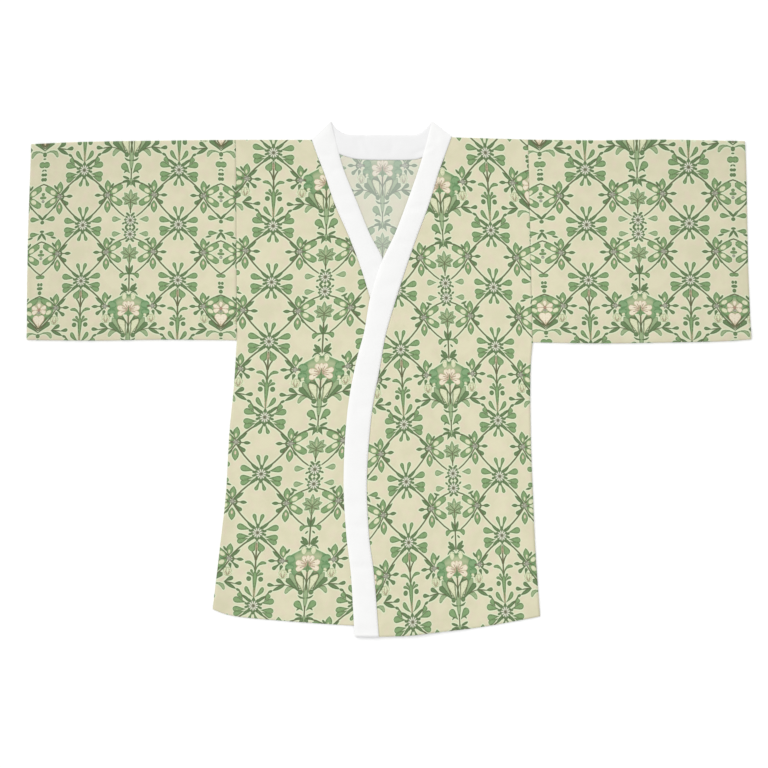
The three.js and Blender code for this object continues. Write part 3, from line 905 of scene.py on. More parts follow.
    # At each crossing, by the distance outwards and the distance along
    CROSSING_LEAVES = (
        strokes(Ink.DARK, Outline.CLUB, (-3, 3.5, -20, 17.5, 3.9))
        + strokes(Ink.DARK, Outline.LENS, (-2, -3, -22, -20, 3.2))
        + strokes(Ink.LEAF, Outline.LENS, (-1.6, -31, 0.4, -6, 7.0))
        + strokes(Ink.BUD, Outline.OVAL, (0.4, -10, 0, -18.5, 2.3))
    )
    # The serrated leaf that stands twice in each bouquet column
    SERRATED = (
        strokes(Ink.PALE_LEAF, Outline.LENS, (0, 4, 0, -21.5, 4.6), (-3, 1, 20, -3, 5.2),
                (0, 2, 14.5, -14, 4.8), (0, 0, 15, 10.5, 4.8))
        + strokes(Ink.PALE_LEAF, Outline.SPIKE, (0, -4, 0, 25, 8.5))
        + strokes(Ink.BUD, Outline.LINE, (0, -13, 0, -2, 0.8))
        + strokes(Ink.STEM, Outline.LINE, (0, 0, 0, 18, 0.6), (1, 4, 15, -2, 0.45), (1, 1, 10, -9, 0.4),
                  (1, 6, 11, 9, 0.45))
    )
    # The bouquet column, by the distance from it and the distance along, from -193 to 188
    BOUQUET = (
        strokes(Ink.BODY, Outline.OVAL, (-30, 58, 34, 58, 17), (28, 53, 45.5, 53, 7.5),
                (27, 68, 45.5, 68, 7.2))
        + strokes(Ink.BODY, Outline.BEAN, (-4, 34, 40, 58, 9.5), (38, 56, 13, 90, 9.0))
        + strokes(Ink.GLOW, Outline.OVAL, (0, 38, 0, 66, 15), (10, 46, 26, 50, 5))
        + strokes(Ink.LOBE, Outline.OVAL, (26, 54, 45, 52, 8.4), (27, 68.5, 45, 70, 6.8))
        + strokes(Ink.PALE_LEAF, Outline.DROP, (20, -128.5, 40.5, -129, 5.6), (20, -98.5, 40, -97.5, 5.4))
        + strokes(Ink.PALE_LEAF, Outline.SPIKE, (34, 82, 12, 118, 5.6))
        + strokes(Ink.PALE_LEAF, Outline.CLUB, (10, 113, 43, 121, 5.4, -7.5))
        + strokes(Ink.PALE_LEAF, Outline.LENS, (0, 98, 0, 156, 5.0))
        + strokes(Ink.STEM, Outline.LINE, (0, -152, 0, -141, 1.0), (0, -36, 0, 26, 1.3),
                  (0, 148, 0, 168, 1.1), (3, 174.5, 46, 191, 1.1, -4), (24, 90, 14, 114, 0.6),
                  (14, 117, 43, 105, 0.7, -2))
        + strokes(Ink.STEM, Outline.DROP, (4.5, 121, 18.5, 79, 8.9))
        + strokes(Ink.LEAF, Outline.DROP, (3, 158, 20.5, 138.5, 7.2))
        + strokes(Ink.LEAF, Outline.CLUB, (1, -13, 21.5, -6.5, 5.2, -3))
        + strokes(Ink.DARK, Outline.OVAL, (5.8, 120, 15.6, 120, 4.9))
        + strokes(Ink.DARK, Outline.LENS, (31.5, -85.5, 44.5, -90.5, 2.2, 1.8), (0.5, -11, 7.5, -32, 3.2),
                  (1, 132, 16, 126, 1.7, 2), (4, -4, 10, 2, 1.5), (9, 152.5, 16.5, 157.5, 1.5, -1),
                  (12, -121.5, 18, -118, 1.8), (12, -104.5, 18, -109, 1.8), (3, -137, 9.5, -142, 2.3),
                  (3, -86, 9.5, -81, 2.3), (5, -117, 11.5, -111, 2.2), (5, -106, 11.5, -112, 2.2))
        + strokes(Ink.DARK, Outline.OVAL, (4, 169.5, 18.5, 164, 2.3), (4, 172, 19, 175.5, 2.3))
        + strokes(Ink.DARK, Outline.OVAL, (3, 24, 9.5, 10.5, 2.7), (4, 22, 16, 7.5, 3.0),
                  (4, 24, 18, 16.5, 2.7))
        + strokes(Ink.DARK, Outline.CLUB, (1, 34, 19.5, 32, 2.6, -8))
        + strokes(Ink.BUD, Outline.OVAL, (9.5, 28.5, 9.5, 43, 5.3))
        + strokes(Ink.DARK, Outline.SPIKE, (3, 174, 10, 187.5, 3.8))
        + strokes(Ink.PALE_LEAF, Outline.OVAL, (0, 167, 0, 183, 3.6))
        + strokes(Ink.DARK, Outline.BLUNT, (13, 119, 40.5, 92.5, 5.2))
    )
    BOUQUET_LIGHTS = (
        strokes(Ink.BUD, Outline.OVAL, (32.5, 73, 38.5, 77.5, 3.2))
        + strokes(Ink.PETAL, Outline.DROP, (0.5, 64, 23, 74.5, 6.0), (0.5, 63, 24.5, 59, 6.0),
                  (0, 64, 10.5, 46.5, 5.4), (0, 62, 0, 45, 3.8))
        + strokes(Ink.BUD, Outline.DROP, (5.5, 119, 18.3, 80.5, 7.2))
    )
    BOUQUET_TOPS = (
        strokes(Ink.DARK, Outline.CLUB, (0.5, 104, 22.5, 82, 2.4, -7))
        + strokes(Ink.LEAF, Outline.SPIKE, (0, 80, 0, 55, 2.6))
        + strokes(Ink.STEM, Outline.LINE, (0, 79, 0, 116, 1.2))
        + strokes(Ink.BLUSH, Outline.LINE, (3, 66, 15, 69.5, 0.45), (3, 63, 14, 60, 0.45),
                  (2, 61, 6.5, 52, 0.45))
    )
    # The narrow column, by the distance from it and the distance along, from -5 to 376
    NARROW = (
        strokes(Ink.BODY, Outline.OVAL, (-24, 52, 26, 52, 20))
        + strokes(Ink.GLOW, Outline.OVAL, (0, 40, 0, 70, 13))
        + strokes(Ink.LOBE, Outline.OVAL, (16, 52, 29, 50, 7), (16, 65, 28, 66, 5.6))
        + strokes(Ink.BODY, Outline.SPIKE, (0, 36, 30, 50, 8), (24, 60, 6, 92, 9))
        + strokes(Ink.PALE_LEAF, Outline.CLUB, (4, 112, 31, 120, 4.8, -6.5))
        + strokes(Ink.LEAF, Outline.DROP, (6, 248, 28, 246.5, 5.0), (6, 278, 27.5, 279, 4.8))
        + strokes(Ink.LEAF, Outline.OVAL, (-2, 136, 12, 136, 6.0), (-2, 369, 10, 369, 3.8))
        + strokes(Ink.DARK, Outline.OVAL, (0.2, 4, 6, 4, 3.3), (-6, 12.5, 6.5, 12.5, 3.2),
                  (-4.2, 22, 4.2, 22, 4.0), (-4.4, 115.5, 4.4, 115.5, 4.4), (-3.4, 124, 3.4, 124, 1.3),
                  (-1, 156.5, 6.5, 155.5, 2.8), (-1, 165.5, 6.5, 166, 3.4), (-4.4, 254, 4.4, 254, 3.6),
                  (-5, 273, 5, 273, 2.3))
        + strokes(Ink.DARK, Outline.LENS, (0, 145.5, 5.5, 149, 1.5), (-1, 250, 11, 236, 2.6),
                  (20, 285, 33, 288, 1.9), (-1, 275, 10, 292, 2.6))
        + strokes(Ink.DARK, Outline.BLUNT, (0, 108, 24, 87, 4.8))
        + strokes(Ink.STEM, Outline.LINE, (0, 99, 22, 70, 1.2), (0, 104, 25, 78, 1.0))
    )
    NARROW_LIGHTS = (
        strokes(Ink.PETAL, Outline.DROP, (0, 58, 16, 52, 5.2), (0, 58, 15, 66, 5.2), (0, 58, 0, 44, 4.6),
                (0.5, 97, 7.5, 70, 7.4))
        + strokes(Ink.BLUSH, Outline.OVAL, (-3.2, 58.5, 3.2, 58.5, 3.0))
    )
    # The little cross between the crossings of the narrow column
    SMALL_CROSS = (
        strokes(Ink.LEAF, Outline.OVAL, (-7.5, 1, 7.5, 1, 2.9), (-3.8, -6, 3.8, -6, 3.2))
        + strokes(Ink.LILAC, Outline.OVAL, (-3.4, 8.5, 3.4, 8.5, 2.8))
    )

    def __init__(self, dye: Dye, place: Value) -> None:
        """Works out the folds of the repeat and draws all its strokes.

        Args:
            dye: The material's nodes.
            place: The place in the print, in its millimetres, as a vector.
        """
        self.dye = dye
        self.layers: list[dict[Ink, Value]] = [{}, {}, {}]
        under, light, top = self.layers
        across = dye.dot(place, (1, 0, 0)).folded(self.HALF_REPEAT)
        along = dye.dot(place, (0, 1, 0)).wrapped(0, self.REPEAT)
        aside = abs(across - self.STAR_COLUMN)
        narrow = self.HALF_REPEAT - across
        star = self._from_nearest(along, self.STAR_ROWS)
        crossing = self._from_nearest(along, self.CROSSING_ROWS)
        outwards = aside - self.CROSSING_ASIDE
        bouquet = along.wrapped(self.BOUQUET_START, self.BOUQUET_START + self.REPEAT)
        serrated = self._from_nearest(bouquet, self.SERRATED_ROWS)
        second = along.wrapped(self.NARROW_START, self.NARROW_START + self.REPEAT)
        self.draw(under, dye.triple(aside, along), self.COLUMN)
        self.draw(under, dye.triple(aside, star), self.STAR_LEAVES)
        self.draw(under, dye.triple(aside, abs(star)), self.STAR)
        self.draw(under, dye.triple(outwards, abs(crossing)), self.CROSSING)
        self.draw(under, dye.triple(outwards, crossing), self.CROSSING_LEAVES)
        first_row = (sum(self.CROSSING_ROWS[:2]) / 2 - along).over(0)
        covered = (self.STAR_COLUMN - across).over(0) * first_row * self.OUT_OF_SIGHT
        free = dye.triple(outwards, abs(crossing) + covered)
        self.draw(under, free, self.LOBES)
        self.draw(under, dye.triple(outwards, crossing + covered), self.LOBE_STEMS)
        self.draw(light, free, self.LOBE_EYES)
        self.draw(under, dye.triple(across, serrated), self.SERRATED)
        self.draw(under, dye.triple(across, bouquet), self.BOUQUET)
        self.draw(under, dye.triple(narrow, second), self.NARROW)
        self.draw(under, dye.triple(narrow, crossing), self.SMALL_CROSS)
        self.draw(light, dye.triple(aside, along), self.COLUMN_LIGHTS)
        self.draw(light, dye.triple(outwards, abs(crossing)), self.CROSSING_LIGHTS)
        self.draw(light, dye.triple(across, bouquet), self.BOUQUET_LIGHTS)
        self.draw(light, dye.triple(narrow, second), self.NARROW_LIGHTS)
        self.draw(top, dye.triple(across, bouquet), self.BOUQUET_TOPS)
        self.daisy(aside, star)
        self.daisy(across, abs(bouquet - self.TWIN_DAISIES) - self.TWIN_APART)

    @staticmethod
    def _from_nearest(along: Value, rows: Sequence[float]) -> Value:
        """Measures from the nearest of some rows.

        Args:
            along: The distance along the repeat.
            rows: The rows' own distances, in rising order.

        Returns:
            The distance along from the row that lies nearest.
        """
        distance = along - rows[0]
        for low, high in zip(rows, rows[1:]):
            distance = distance - along.over((low + high) / 2) * (high - low)
        return distance

    def draw(self, layer: dict[Ink, Value], place: Value, rows: Iterable[Stroke]) -> None:
        """Adds strokes to the fields of their inks in one layer."""
        for stroke in rows:
            self._add(layer, stroke.ink, stroke.field(self.dye, place))

    @staticmethod
    def _add(layer: dict[Ink, Value], ink: Ink, shape: Value) -> None:
        """Joins a shape to what its ink has drawn before in that layer."""
        layer[ink] = layer[ink].or_more(shape) if ink in layer else shape

    def daisy(self, x: Value, y: Value) -> None:
        """Draws a small flower of eleven petals, with a dark edge and core, round the place 0, 0.

        Args:
            x: The distance across from its middle.
            y: The distance along from its middle.
        """
        under, light, top = self.layers
        place = self.dye.node("ShaderNodeCombineXYZ", {}, {0: x, 1: y})
        away = self.dye.node("ShaderNodeVectorMath", {"operation": "LENGTH"}, {0: place}, output="Value")
        turn = self.dye.node("ShaderNodeMath", {"operation": "ARCTAN2"}, {0: x, 1: y})
        petals = (turn * self.PETALS).cosine()
        shade = petals * self.SHADE_SWING + self.SHADE_RADIUS
        rounded = (petals * self.PETAL_SWING + self.PETAL_RADIUS).or_less(self.PETAL_END)
        for layer, ink, radius in ((under, Ink.DARK, shade), (light, Ink.DAISY, rounded),
                                   (light, Ink.LILAC, self.CORE), (top, Ink.STEM, self.EYE)):
            self._add(layer, ink, (radius - away) * (1 / Stroke.REACH) + Stroke.EDGE)

    def colour(self, ground: Value, brush: Value) -> Value:
        """Lays the halo and the inks over the ground.

        Args:
            ground: The colour of the unprinted cloth.
            brush: Small unevenness of the inks, from 0 to 1.

        Returns:
            The colour of the printed cloth.
        """
        near = None
        for shape in self.layers[0].values():
            near = near.or_more(shape) if near else shape
        halo = self._mask(near, -self.HALO, -self.HALO + self.HALO_EDGE)
        result = self.dye.mixed(halo, ground, srgb(224, 234, 200))
        uneven = brush * self.BRUSH - self.BRUSH / 2
        for layer in self.layers:
            for ink in Ink:
                if ink in layer:
                    middle, rim, depth, edge = ink.value
                    inside = self._mask(layer[ink], 0.0, depth) + uneven
                    tone = self.dye.mixed(inside.ramp(0, 1), rim, middle)
                    mask = self._mask(layer[ink], -self.SPREAD - edge / 2, -self.SPREAD + edge / 2)
                    result = self.dye.mixed(mask, result, tone)
        return result

    @staticmethod
    def _mask(shape: Value, low: float, high: float) -> Value:
        """How far inside a shape, from 0 at low millimetres to 1 at high."""
        return shape.ramp(Stroke.EDGE + low / Stroke.REACH, Stroke.EDGE + high / Stroke.REACH)


@dataclass(frozen=True)
class Finish:
    """A cloth's dull, slightly fuzzy surface.

    A thread is as wide as given in millimetres, and the weave as deep as given in metres.
    """

    name: str
    roughness: float = 0.86
    uneven: float = 0.1
    sheen: float = 0.12
    thread: float = 0.55
    weave_depth: float = 0.00004
    slub_scale: float = 0.35
    crumple_scale: float = 0.022

    def surface(self, dye: Dye, colour: Value | Colour, place: Value, crumple: float) -> bpy.types.Material:
        """Ends a cloth material.

        Args:
            dye: The material's nodes.
            colour: Its colour, or the socket that gives it.
            place: The place on the cloth in millimetres, as a vector.
            crumple: The depth of its soft unevenness, in metres.

        Returns:
            The finished material.
        """
        turn = 2 * math.pi / self.thread
        warp = dye.dot(place, (turn, 0, 0)).sine()
        weft = dye.dot(place, (0, turn, 0)).sine()
        slub = dye.noise(place, self.slub_scale, 3.0)
        weave = (warp * weft * 0.5 + slub) * self.weave_depth
        height = weave + dye.noise(place, self.crumple_scale, 3.0) * crumple
        bump = dye.node("ShaderNodeBump", {}, {"Strength": 1.0, "Distance": 1.0, "Height": height},
                        output="Normal")
        rough = slub * self.uneven + (self.roughness - self.uneven / 2)
        inputs = {"Roughness": rough, "Normal": bump, "Sheen Weight": self.sheen, "Sheen Roughness": 0.5,
                  "Specular IOR Level": 0.25,
                  "Base Color": colour if isinstance(colour, Value) else (*colour, 1.0)}
        shader = dye.node("ShaderNodeBsdfPrincipled", {}, inputs)
        return dye.finished(shader)


@dataclass(frozen=True)
class PrintedCotton(Finish):
    """Cotton with the trellis printed on one side, darkened by painted shade from the mesh's tone
    attribute. The reverse shows it paler and greyer.
    """

    reverse: bool = False
    dull: Colour = srgb(220, 216, 184)
    clear: Colour = srgb(226, 221, 190)
    rosy: Colour = srgb(229, 213, 192)
    mist: Colour = srgb(228, 231, 231)
    mist_share: float = 0.34
    crumple: float = 0.0006

    def make(self) -> bpy.types.Material:
        """Builds the material.

        Returns:
            The finished material.
        """
        dye = Dye(self.name)
        place = dye.node("ShaderNodeUVMap", {"uv_map": "print"}, {})
        blot = dye.noise(place, 0.03)
        tint = dye.noise(place, 0.055)
        ground = dye.mixed(blot.ramp(0.35, 0.62), self.dull, self.clear)
        ground = dye.mixed(tint.ramp(0.5, 0.72) * 0.5, ground, self.rosy)
        colour = Trellis(dye, place).colour(ground, dye.noise(place, 0.34))
        if self.reverse:
            colour = dye.mixed(self.mist_share, colour, self.mist)
        # Painted shade: the colour is multiplied by the tone attribute, darker towards the cuffs,
        # shoulders, sleeve undersides and hem
        tone = dye.node("ShaderNodeAttribute", {"attribute_name": "tone"}, {}, output="Fac")
        return self.surface(dye, dye.mixed(1.0, colour, tone, "MULTIPLY"), place, self.crumple)


@dataclass(frozen=True)
class PlainCotton(Finish):
    """Plain white cotton, a little duller in places."""

    colour: Colour = srgb(248, 248, 247)
    dulled: float = 0.985
    crumple: float = 0.0002

    def make(self) -> bpy.types.Material:
        """Builds the material.

        Returns:
            The finished material.
        """
        dye = Dye(self.name)
        place = dye.node("ShaderNodeUVMap", {"uv_map": "print"}, {})
        shade = dye.noise(place, 0.03)
        dull = tuple(c * self.dulled for c in self.colour)
        return self.surface(dye, dye.mixed(shade.ramp(0.3, 0.7), dull, self.colour), place, self.crumple)


@dataclass(frozen=True)
class Thread:
    """Twisted cotton sewing thread, darker between its strands."""

    name: str
    colour: Colour = srgb(226, 220, 196)
    shadow: float = 0.86
    strands: float = 2400.0
    roughness: float = 0.7

    def make(self) -> bpy.types.Material:
        """Builds the material.

        Returns:
            The finished material.
        """
        dye = Dye(self.name)
        place = dye.node("ShaderNodeTexCoord", {}, {}, output="Object")
        twist = dye.noise(place, self.strands, 1.0)
        colour = dye.mixed(twist, tuple(c * self.shadow for c in self.colour), self.colour)
        shader = dye.node("ShaderNodeBsdfPrincipled", {},
                          {"Base Color": colour, "Roughness": self.roughness})
        return dye.finished(shader)


@dataclass(frozen=True)
class Finishes:
    """The materials of the robe."""

    face: bpy.types.Material
    reverse: bpy.types.Material
    band: bpy.types.Material
    band_inside_painted_shade: bpy.types.Material
    thread: bpy.types.Material

    @classmethod
    def make(cls) -> "Finishes":
        """Makes each material once.

        Returns:
            All the robe's materials.
        """
        return cls(
            PrintedCotton("printed_cotton").make(),
            PrintedCotton("printed_cotton_reverse", reverse=True).make(),
            PlainCotton("white_cotton").make(),
            # Painted shade: the neckband's inside, which faces up behind the neck, is a greyer copy of the
            # white cotton
            PlainCotton("white_cotton_inside_painted_shade", colour=srgb(243, 243, 243)).make(),
            Thread("cotton_thread").make(),
        )


@dataclass
class Sewing:
    """Small running stitches along lines of cloth, with their sizes in metres."""

    material: bpy.types.Material
    pitch: float = 0.0062
    length: float = 0.0030
    thickness: float = 0.00042
    seed: int = 7
    _tree: Any = field(default=None, repr=False)

    def tree(self) -> bpy.types.NodeTree:
        """The Geometry Nodes that set stitches along a line, made once.

        Returns:
            A tree with the stitches' sizes and their material as named inputs.
        """
        if self._tree:
            return self._tree
        tree = bpy.data.node_groups.new("stitches_along_a_line", "GeometryNodeTree")
        face = tree.interface
        face.new_socket("Line", in_out="INPUT", socket_type="NodeSocketGeometry")
        for name in ("Pitch", "Length", "Thickness"):
            face.new_socket(name, in_out="INPUT", socket_type="NodeSocketFloat")
        face.new_socket("Thread", in_out="INPUT", socket_type="NodeSocketMaterial")
        face.new_socket("Stitches", in_out="OUTPUT", socket_type="NodeSocketGeometry")

        def add(kind: str, inputs: dict[Any, Any], **settings: Any) -> bpy.types.Node:
            """Adds a node.

            Args:
                kind: The node's type.
                inputs: Values or links of its sockets, by name or number.
                settings: Its properties, which are set first.

            Returns:
                The new node.
            """
            made = tree.nodes.new(kind)
            for key, value in settings.items():
                setattr(made, key, value)
            for key, value in inputs.items():
                if isinstance(value, bpy.types.NodeSocket):
                    tree.links.new(value, made.inputs[key])
                else:
                    made.inputs[key].default_value = value
            return made

        given = add("NodeGroupInput", {})
        spaced = add("GeometryNodeResampleCurve", {"Curve": given.outputs["Line"],
                                                   "Length": given.outputs["Pitch"]}, mode="LENGTH")
        stitch = add("GeometryNodeMeshUVSphere", {"Segments": 6, "Rings": 4, "Radius": 0.5})
        tangent = add("GeometryNodeInputTangent", {})
        turned = add("FunctionNodeAlignRotationToVector", {"Vector": tangent.outputs[0]}, axis="X")
        uneven = add("FunctionNodeRandomValue", {2: 0.8, 3: 1.1, "Seed": self.seed}, data_type="FLOAT")
        long = add("ShaderNodeMath", {0: given.outputs["Length"], 1: uneven.outputs[1]},
                   operation="MULTIPLY")
        thick = given.outputs["Thickness"]
        size = add("ShaderNodeCombineXYZ", {0: long.outputs[0], 1: thick, 2: thick})
        sewn = add("GeometryNodeInstanceOnPoints",
                   {"Points": spaced.outputs[0], "Instance": stitch.outputs[0],
                    "Rotation": turned.outputs[0], "Scale": size.outputs[0]})
        real = add("GeometryNodeRealizeInstances", {"Geometry": sewn.outputs[0]})
        dressed = add("GeometryNodeSetMaterial", {"Geometry": real.outputs[0],
                                                  "Material": given.outputs["Thread"]})
        add("NodeGroupOutput", {"Stitches": dressed.outputs[0]})
        self._tree = tree
        return tree

    def along(self, name: str, lines: Iterable[np.ndarray]) -> bpy.types.Object:
        """Sews along lines.

        Args:
            name: The finished piece's name.
            lines: Rows of points in metres, each row one line of stitches.

        Returns:
            One plain mesh object with all the stitches.
        """
        path = bpy.data.curves.new(name + "_path", "CURVE")
        path.dimensions = "3D"
        for line in lines:
            spline = path.splines.new("POLY")
            spline.points.add(len(line) - 1)
            spline.points.foreach_set("co", np.concatenate([line, np.ones((len(line), 1))], 1).ravel())
        guide = bpy.data.objects.new(name + "_guide", path)
        bpy.context.scene.collection.objects.link(guide)
        modifier = guide.modifiers.new("stitches", "NODES")
        modifier.node_group = self.tree()
        given = {"Pitch": self.pitch, "Length": self.length, "Thickness": self.thickness,
                 "Thread": self.material}
        for item in self.tree().interface.items_tree:
            if item.name in given:
                modifier[item.identifier] = given[item.name]
        graph = bpy.context.evaluated_depsgraph_get()
        mesh = bpy.data.meshes.new_from_object(guide.evaluated_get(graph))
        mesh.name = name
        bpy.data.objects.remove(guide)
        mesh.polygons.foreach_set("use_smooth", np.ones(len(mesh.polygons), bool))
        piece = bpy.data.objects.new(name, mesh)
        bpy.context.scene.collection.objects.link(piece)
        return piece


@dataclass
class GarmentPiece:
    """A piece of the robe that stands for one solid, with its sewing and its flat cut."""

    name: str
    finishes: Finishes
    sewing: Sewing
    flat: tuple[float, float]
    area: float
    rests_on: tuple[str, ...]
    held: str = "laid"
    slot: str = "printed_cloth"

    def cloth(self) -> Cloth:
        """The two sides of the piece's wall."""
        raise NotImplementedError

    def stitch_lines(self, cloth: Cloth) -> list[np.ndarray]:
        """The lines on the outer side along which the piece is sewn."""
        return []

    def materials(self) -> tuple[bpy.types.Material, bpy.types.Material]:
        """The materials of the outer and the inner side."""
        return self.finishes.face, self.finishes.reverse

    def build(self) -> bpy.types.Object:
        """Returns:
            The piece's object.
        """
        cloth = self.cloth()
        mesh = cloth.mesh(self.name + "_cloth")
        for material in self.materials():
            mesh.materials.append(material)
        piece = bpy.data.objects.new(self.name + "_cloth", mesh)
        bpy.context.scene.collection.objects.link(piece)
        lines = self.stitch_lines(cloth)
        if lines:
            stitches = self.sewing.along(self.name + "_stitches", [line * MM for line in lines])
            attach(stitches, "root")
            log.info("%s: %d faces of stitches", stitches.name, len(stitches.data.polygons))
        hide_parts(self.name)
        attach(piece, "root")
        log.info("%s: %d faces", piece.name, len(mesh.polygons))
        return piece


def wall(middle: np.ndarray, chart: np.ndarray, thickness: float, face: Facing = Facing.UP) -> Cloth:
    """A level wall of cloth.

    Args:
        middle: The grid of points in the middle of the wall.
        chart: Their places in the print.
        thickness: The wall's thickness.
        face: The side that the printed face is on.

    Returns:
        The wall's two sides.
    """
    half = np.array([0, 0, thickness / 2]) * face.value
    return Cloth(middle + half, middle - half, chart)


@dataclass
class Back(GarmentPiece):
    """The back, face down on the floor, with its curved neckline between the shoulders."""

    rows: int = 190
    shoulder: int = 26
    band_steps: int = 8

    def cloth(self) -> Cloth:
        """Lays out the back, flat on the floor.

        Returns:
            The back's wall.
        """
        neckline = beside_seam(*band_rows(BACK_BAND, self.band_steps))
        shares = np.linspace(0, 1, self.rows)
        right = RIGHT.edge(shares, RIGHT.seam[-1][1] - BACK_SHORTER)
        left = LEFT.edge(shares, LEFT.seam[-1][1] - BACK_SHORTER)
        u = np.linspace(0, 1, self.shoulder + 1)[:, None]
        top = np.concatenate([(right[0] * (1 - u) + neckline[0] * u)[:-1], neckline,
                              (neckline[-1] * (1 - u) + left[0] * u)[1:]])
        across = (top[:, 0] - top[0, 0]) / (top[-1, 0] - top[0, 0])
        bottom = SmoothLine([right[-1], *BACK_HEM, left[-1]]).by_length(across)
        plan = plan_grid(top, bottom, right, left)
        middle = lift(plan, np.full(plan.shape[:2], LOWER))
        return wall(middle, BACK_LAY.at(plan[..., 0], plan[..., 1]), PANEL, Facing.DOWN)


@dataclass
class Front(GarmentPiece):
    """A front panel, from its side seam to the neckband."""

    side: Side = RIGHT
    stations: tuple[tuple[float, ...], ...] = RIGHT_BAND
    lay: PrintLay = RIGHT_FRONT_LAY
    over: bool = False
    per_station: int = 15
    columns: int = 62

    def height(self, x: np.ndarray, down: np.ndarray) -> np.ndarray:
        """The height of the wall's middle over the floor."""
        rise = overlap_rise(x, down) if self.over else 0
        return UPPER + ridge_sum(RIDGES, x, down) + ridge_sum(CREASES, x, down) + rise

    def cloth(self) -> Cloth:
        """Lays out the panel between its side seam and the neckband.

        Returns:
            The panel's wall with its soft ridges.
        """
        band_edge = beside_seam(*band_rows(self.stations, self.per_station))
        corner = self.side.seam[-1]
        shares = (band_edge[:, 1] - band_edge[0, 1]) / (band_edge[-1, 1] - band_edge[0, 1])
        edge = self.side.edge(shares, corner[1])
        u = np.linspace(0, 1, self.columns)
        top = edge[0] * (1 - u[:, None]) + band_edge[0] * u[:, None]
        bottom = SmoothLine([corner, *self.side.hem, band_edge[-1]]).by_length(u)
        plan = plan_grid(top, bottom, edge, band_edge)
        x, down = plan[..., 0], plan[..., 1]
        return wall(lift(plan, self.height(x, down)), self.lay.at(x, down), PANEL)

    def stitch_lines(self, cloth: Cloth) -> list[np.ndarray]:
        """The hem and the seam beside the neckband, which ends short of the hem."""
        return [cloth.outer[-HEM_ROWS, 1:-1], cloth.outer[2:-HEM_ROWS - 1, -2]]


@dataclass
class Sleeve(GarmentPiece):
    """A sleeve: a flattened tube, folded along its top and sewn along its underside.

    Its seam allowance, in millimetres, shows as a low step beside the underside.
    """

    side: Side = RIGHT
    lay: PrintLay = RIGHT_SLEEVE_LAY
    rings: int = 86
    columns: int = 84
    fold_steps: int = 8
    allowance: float = 22.0
    step_height: float = 0.7
    step_half: float = 3.0
    step_fade: float = 6.0

    def cloth(self) -> Cloth:
        """Makes the tube ring by ring, from the armhole to the cuff.

        Returns:
            The tube's wall.
        """
        side = self.side
        along, across = np.linspace(0, 1, self.rings), np.linspace(0, 1, self.columns)
        top = SmoothLine(side.sleeve_top).by_length(along)
        under = SmoothLine(side.sleeve_under).by_length(along)
        for edge in (top, under):
            edge[0, 0] = side.armhole(edge[0, 1]) + side.outward * SEAM
        start, end = top[0, 1], under[0, 1]
        down = start + (end - start) * across
        inner = np.stack([side.armhole(down) + side.outward * SEAM, down], -1)
        cuff_start, cuff_end = top[-1, 1], under[-1, 1]
        cuff = SmoothLine(side.cuff).at_down(cuff_start + (cuff_end - cuff_start) * across)
        plan = plan_grid(top, under, inner, cuff).transpose(1, 0, 2)
        rings = [self._ring(row) for row in plan]
        outer, inner_side, chart = (np.stack(part) for part in zip(*rings))
        return Cloth(outer, inner_side, chart, tube=True, rounding=(0.1, 0.3, 0, 0))

    def _ring(self, points: np.ndarray) -> tuple[np.ndarray, np.ndarray, np.ndarray]:
        """One ring of the tube, from the underside's seam round the back, the top and the front.

        Args:
            points: The ring's plan points from the top edge to the underside.

        Returns:
            Outer points, inner points and places in the print, the last with its end repeated.
        """
        from_armhole = abs(points[0, 0] - self.side.armhole_x)
        roll = SLEEVE_ROLL * float(smoothstep(from_armhole, 0, ROLL_START))
        radius = (UPPER + roll - LOWER) / 2
        top, under = points[0, 1], points[-1, 1]
        edge = radius + PANEL / 2
        down = top + edge + (under - top - 2 * edge) * (points[:, 1] - top) / (under - top)
        x = points[:, 0]
        from_fold = np.minimum(down - top, under - down) - edge
        soft = smoothstep(from_fold, 0, ROLL_WIDTH)
        beyond = smoothstep(under - down, self.allowance - self.step_half, self.allowance + self.step_half)
        seam = self.step_height * (1 - beyond) * smoothstep(from_fold, 0, self.step_fade)
        height = (UPPER + roll * np.exp(-((from_fold / ROLL_WIDTH) ** 2)) + seam
                  + (ridge_sum(RIDGES, x, down) + ridge_sum(CREASES, x, down)) * soft)
        up = np.tile([0.0, 0, 1], (len(x), 1))
        front = lift(np.stack([x, down], -1), height)
        back = lift(np.stack([x, down], -1), np.full(len(x), LOWER))[::-1]
        angle = np.pi * np.arange(1, self.fold_steps) / self.fold_steps

        def fold(at: np.ndarray, outward: int, angles: np.ndarray) -> tuple[np.ndarray, np.ndarray]:
            """The middle points of a fold over one edge, and the way that each faces."""
            facing = np.stack([angles * 0, outward * np.sin(angles), np.cos(angles)], -1)
            return lift(at, LOWER + radius) + facing * radius, facing

        top_fold = fold(np.array([x[0], down[0]]), 1, angle[::-1])
        under_fold = fold(np.array([x[-1], down[-1]]), -1, angle)
        middle = np.concatenate([back, top_fold[0], front, under_fold[0]])
        facing = np.concatenate([-up, top_fold[1], up, under_fold[1]])
        arc = radius * angle
        path = np.concatenate([2 * top - down[::-1], top + edge - (np.pi * radius / 2 - arc),
                               down, down[-1] + arc, [down[-1] + np.pi * radius]])
        places = np.concatenate([x[::-1], np.full(len(arc), x[0]), x, np.full(len(arc) + 1, x[-1])])
        half = facing * PANEL / 2
        return middle + half, middle - half, self.lay.at(places, path)

    def stitch_lines(self, cloth: Cloth) -> list[np.ndarray]:
        """The cuff's hem on the front of the sleeve."""
        start = self.columns + self.fold_steps
        return [cloth.outer[-HEM_ROWS, start + 1:start + self.columns - 3]]


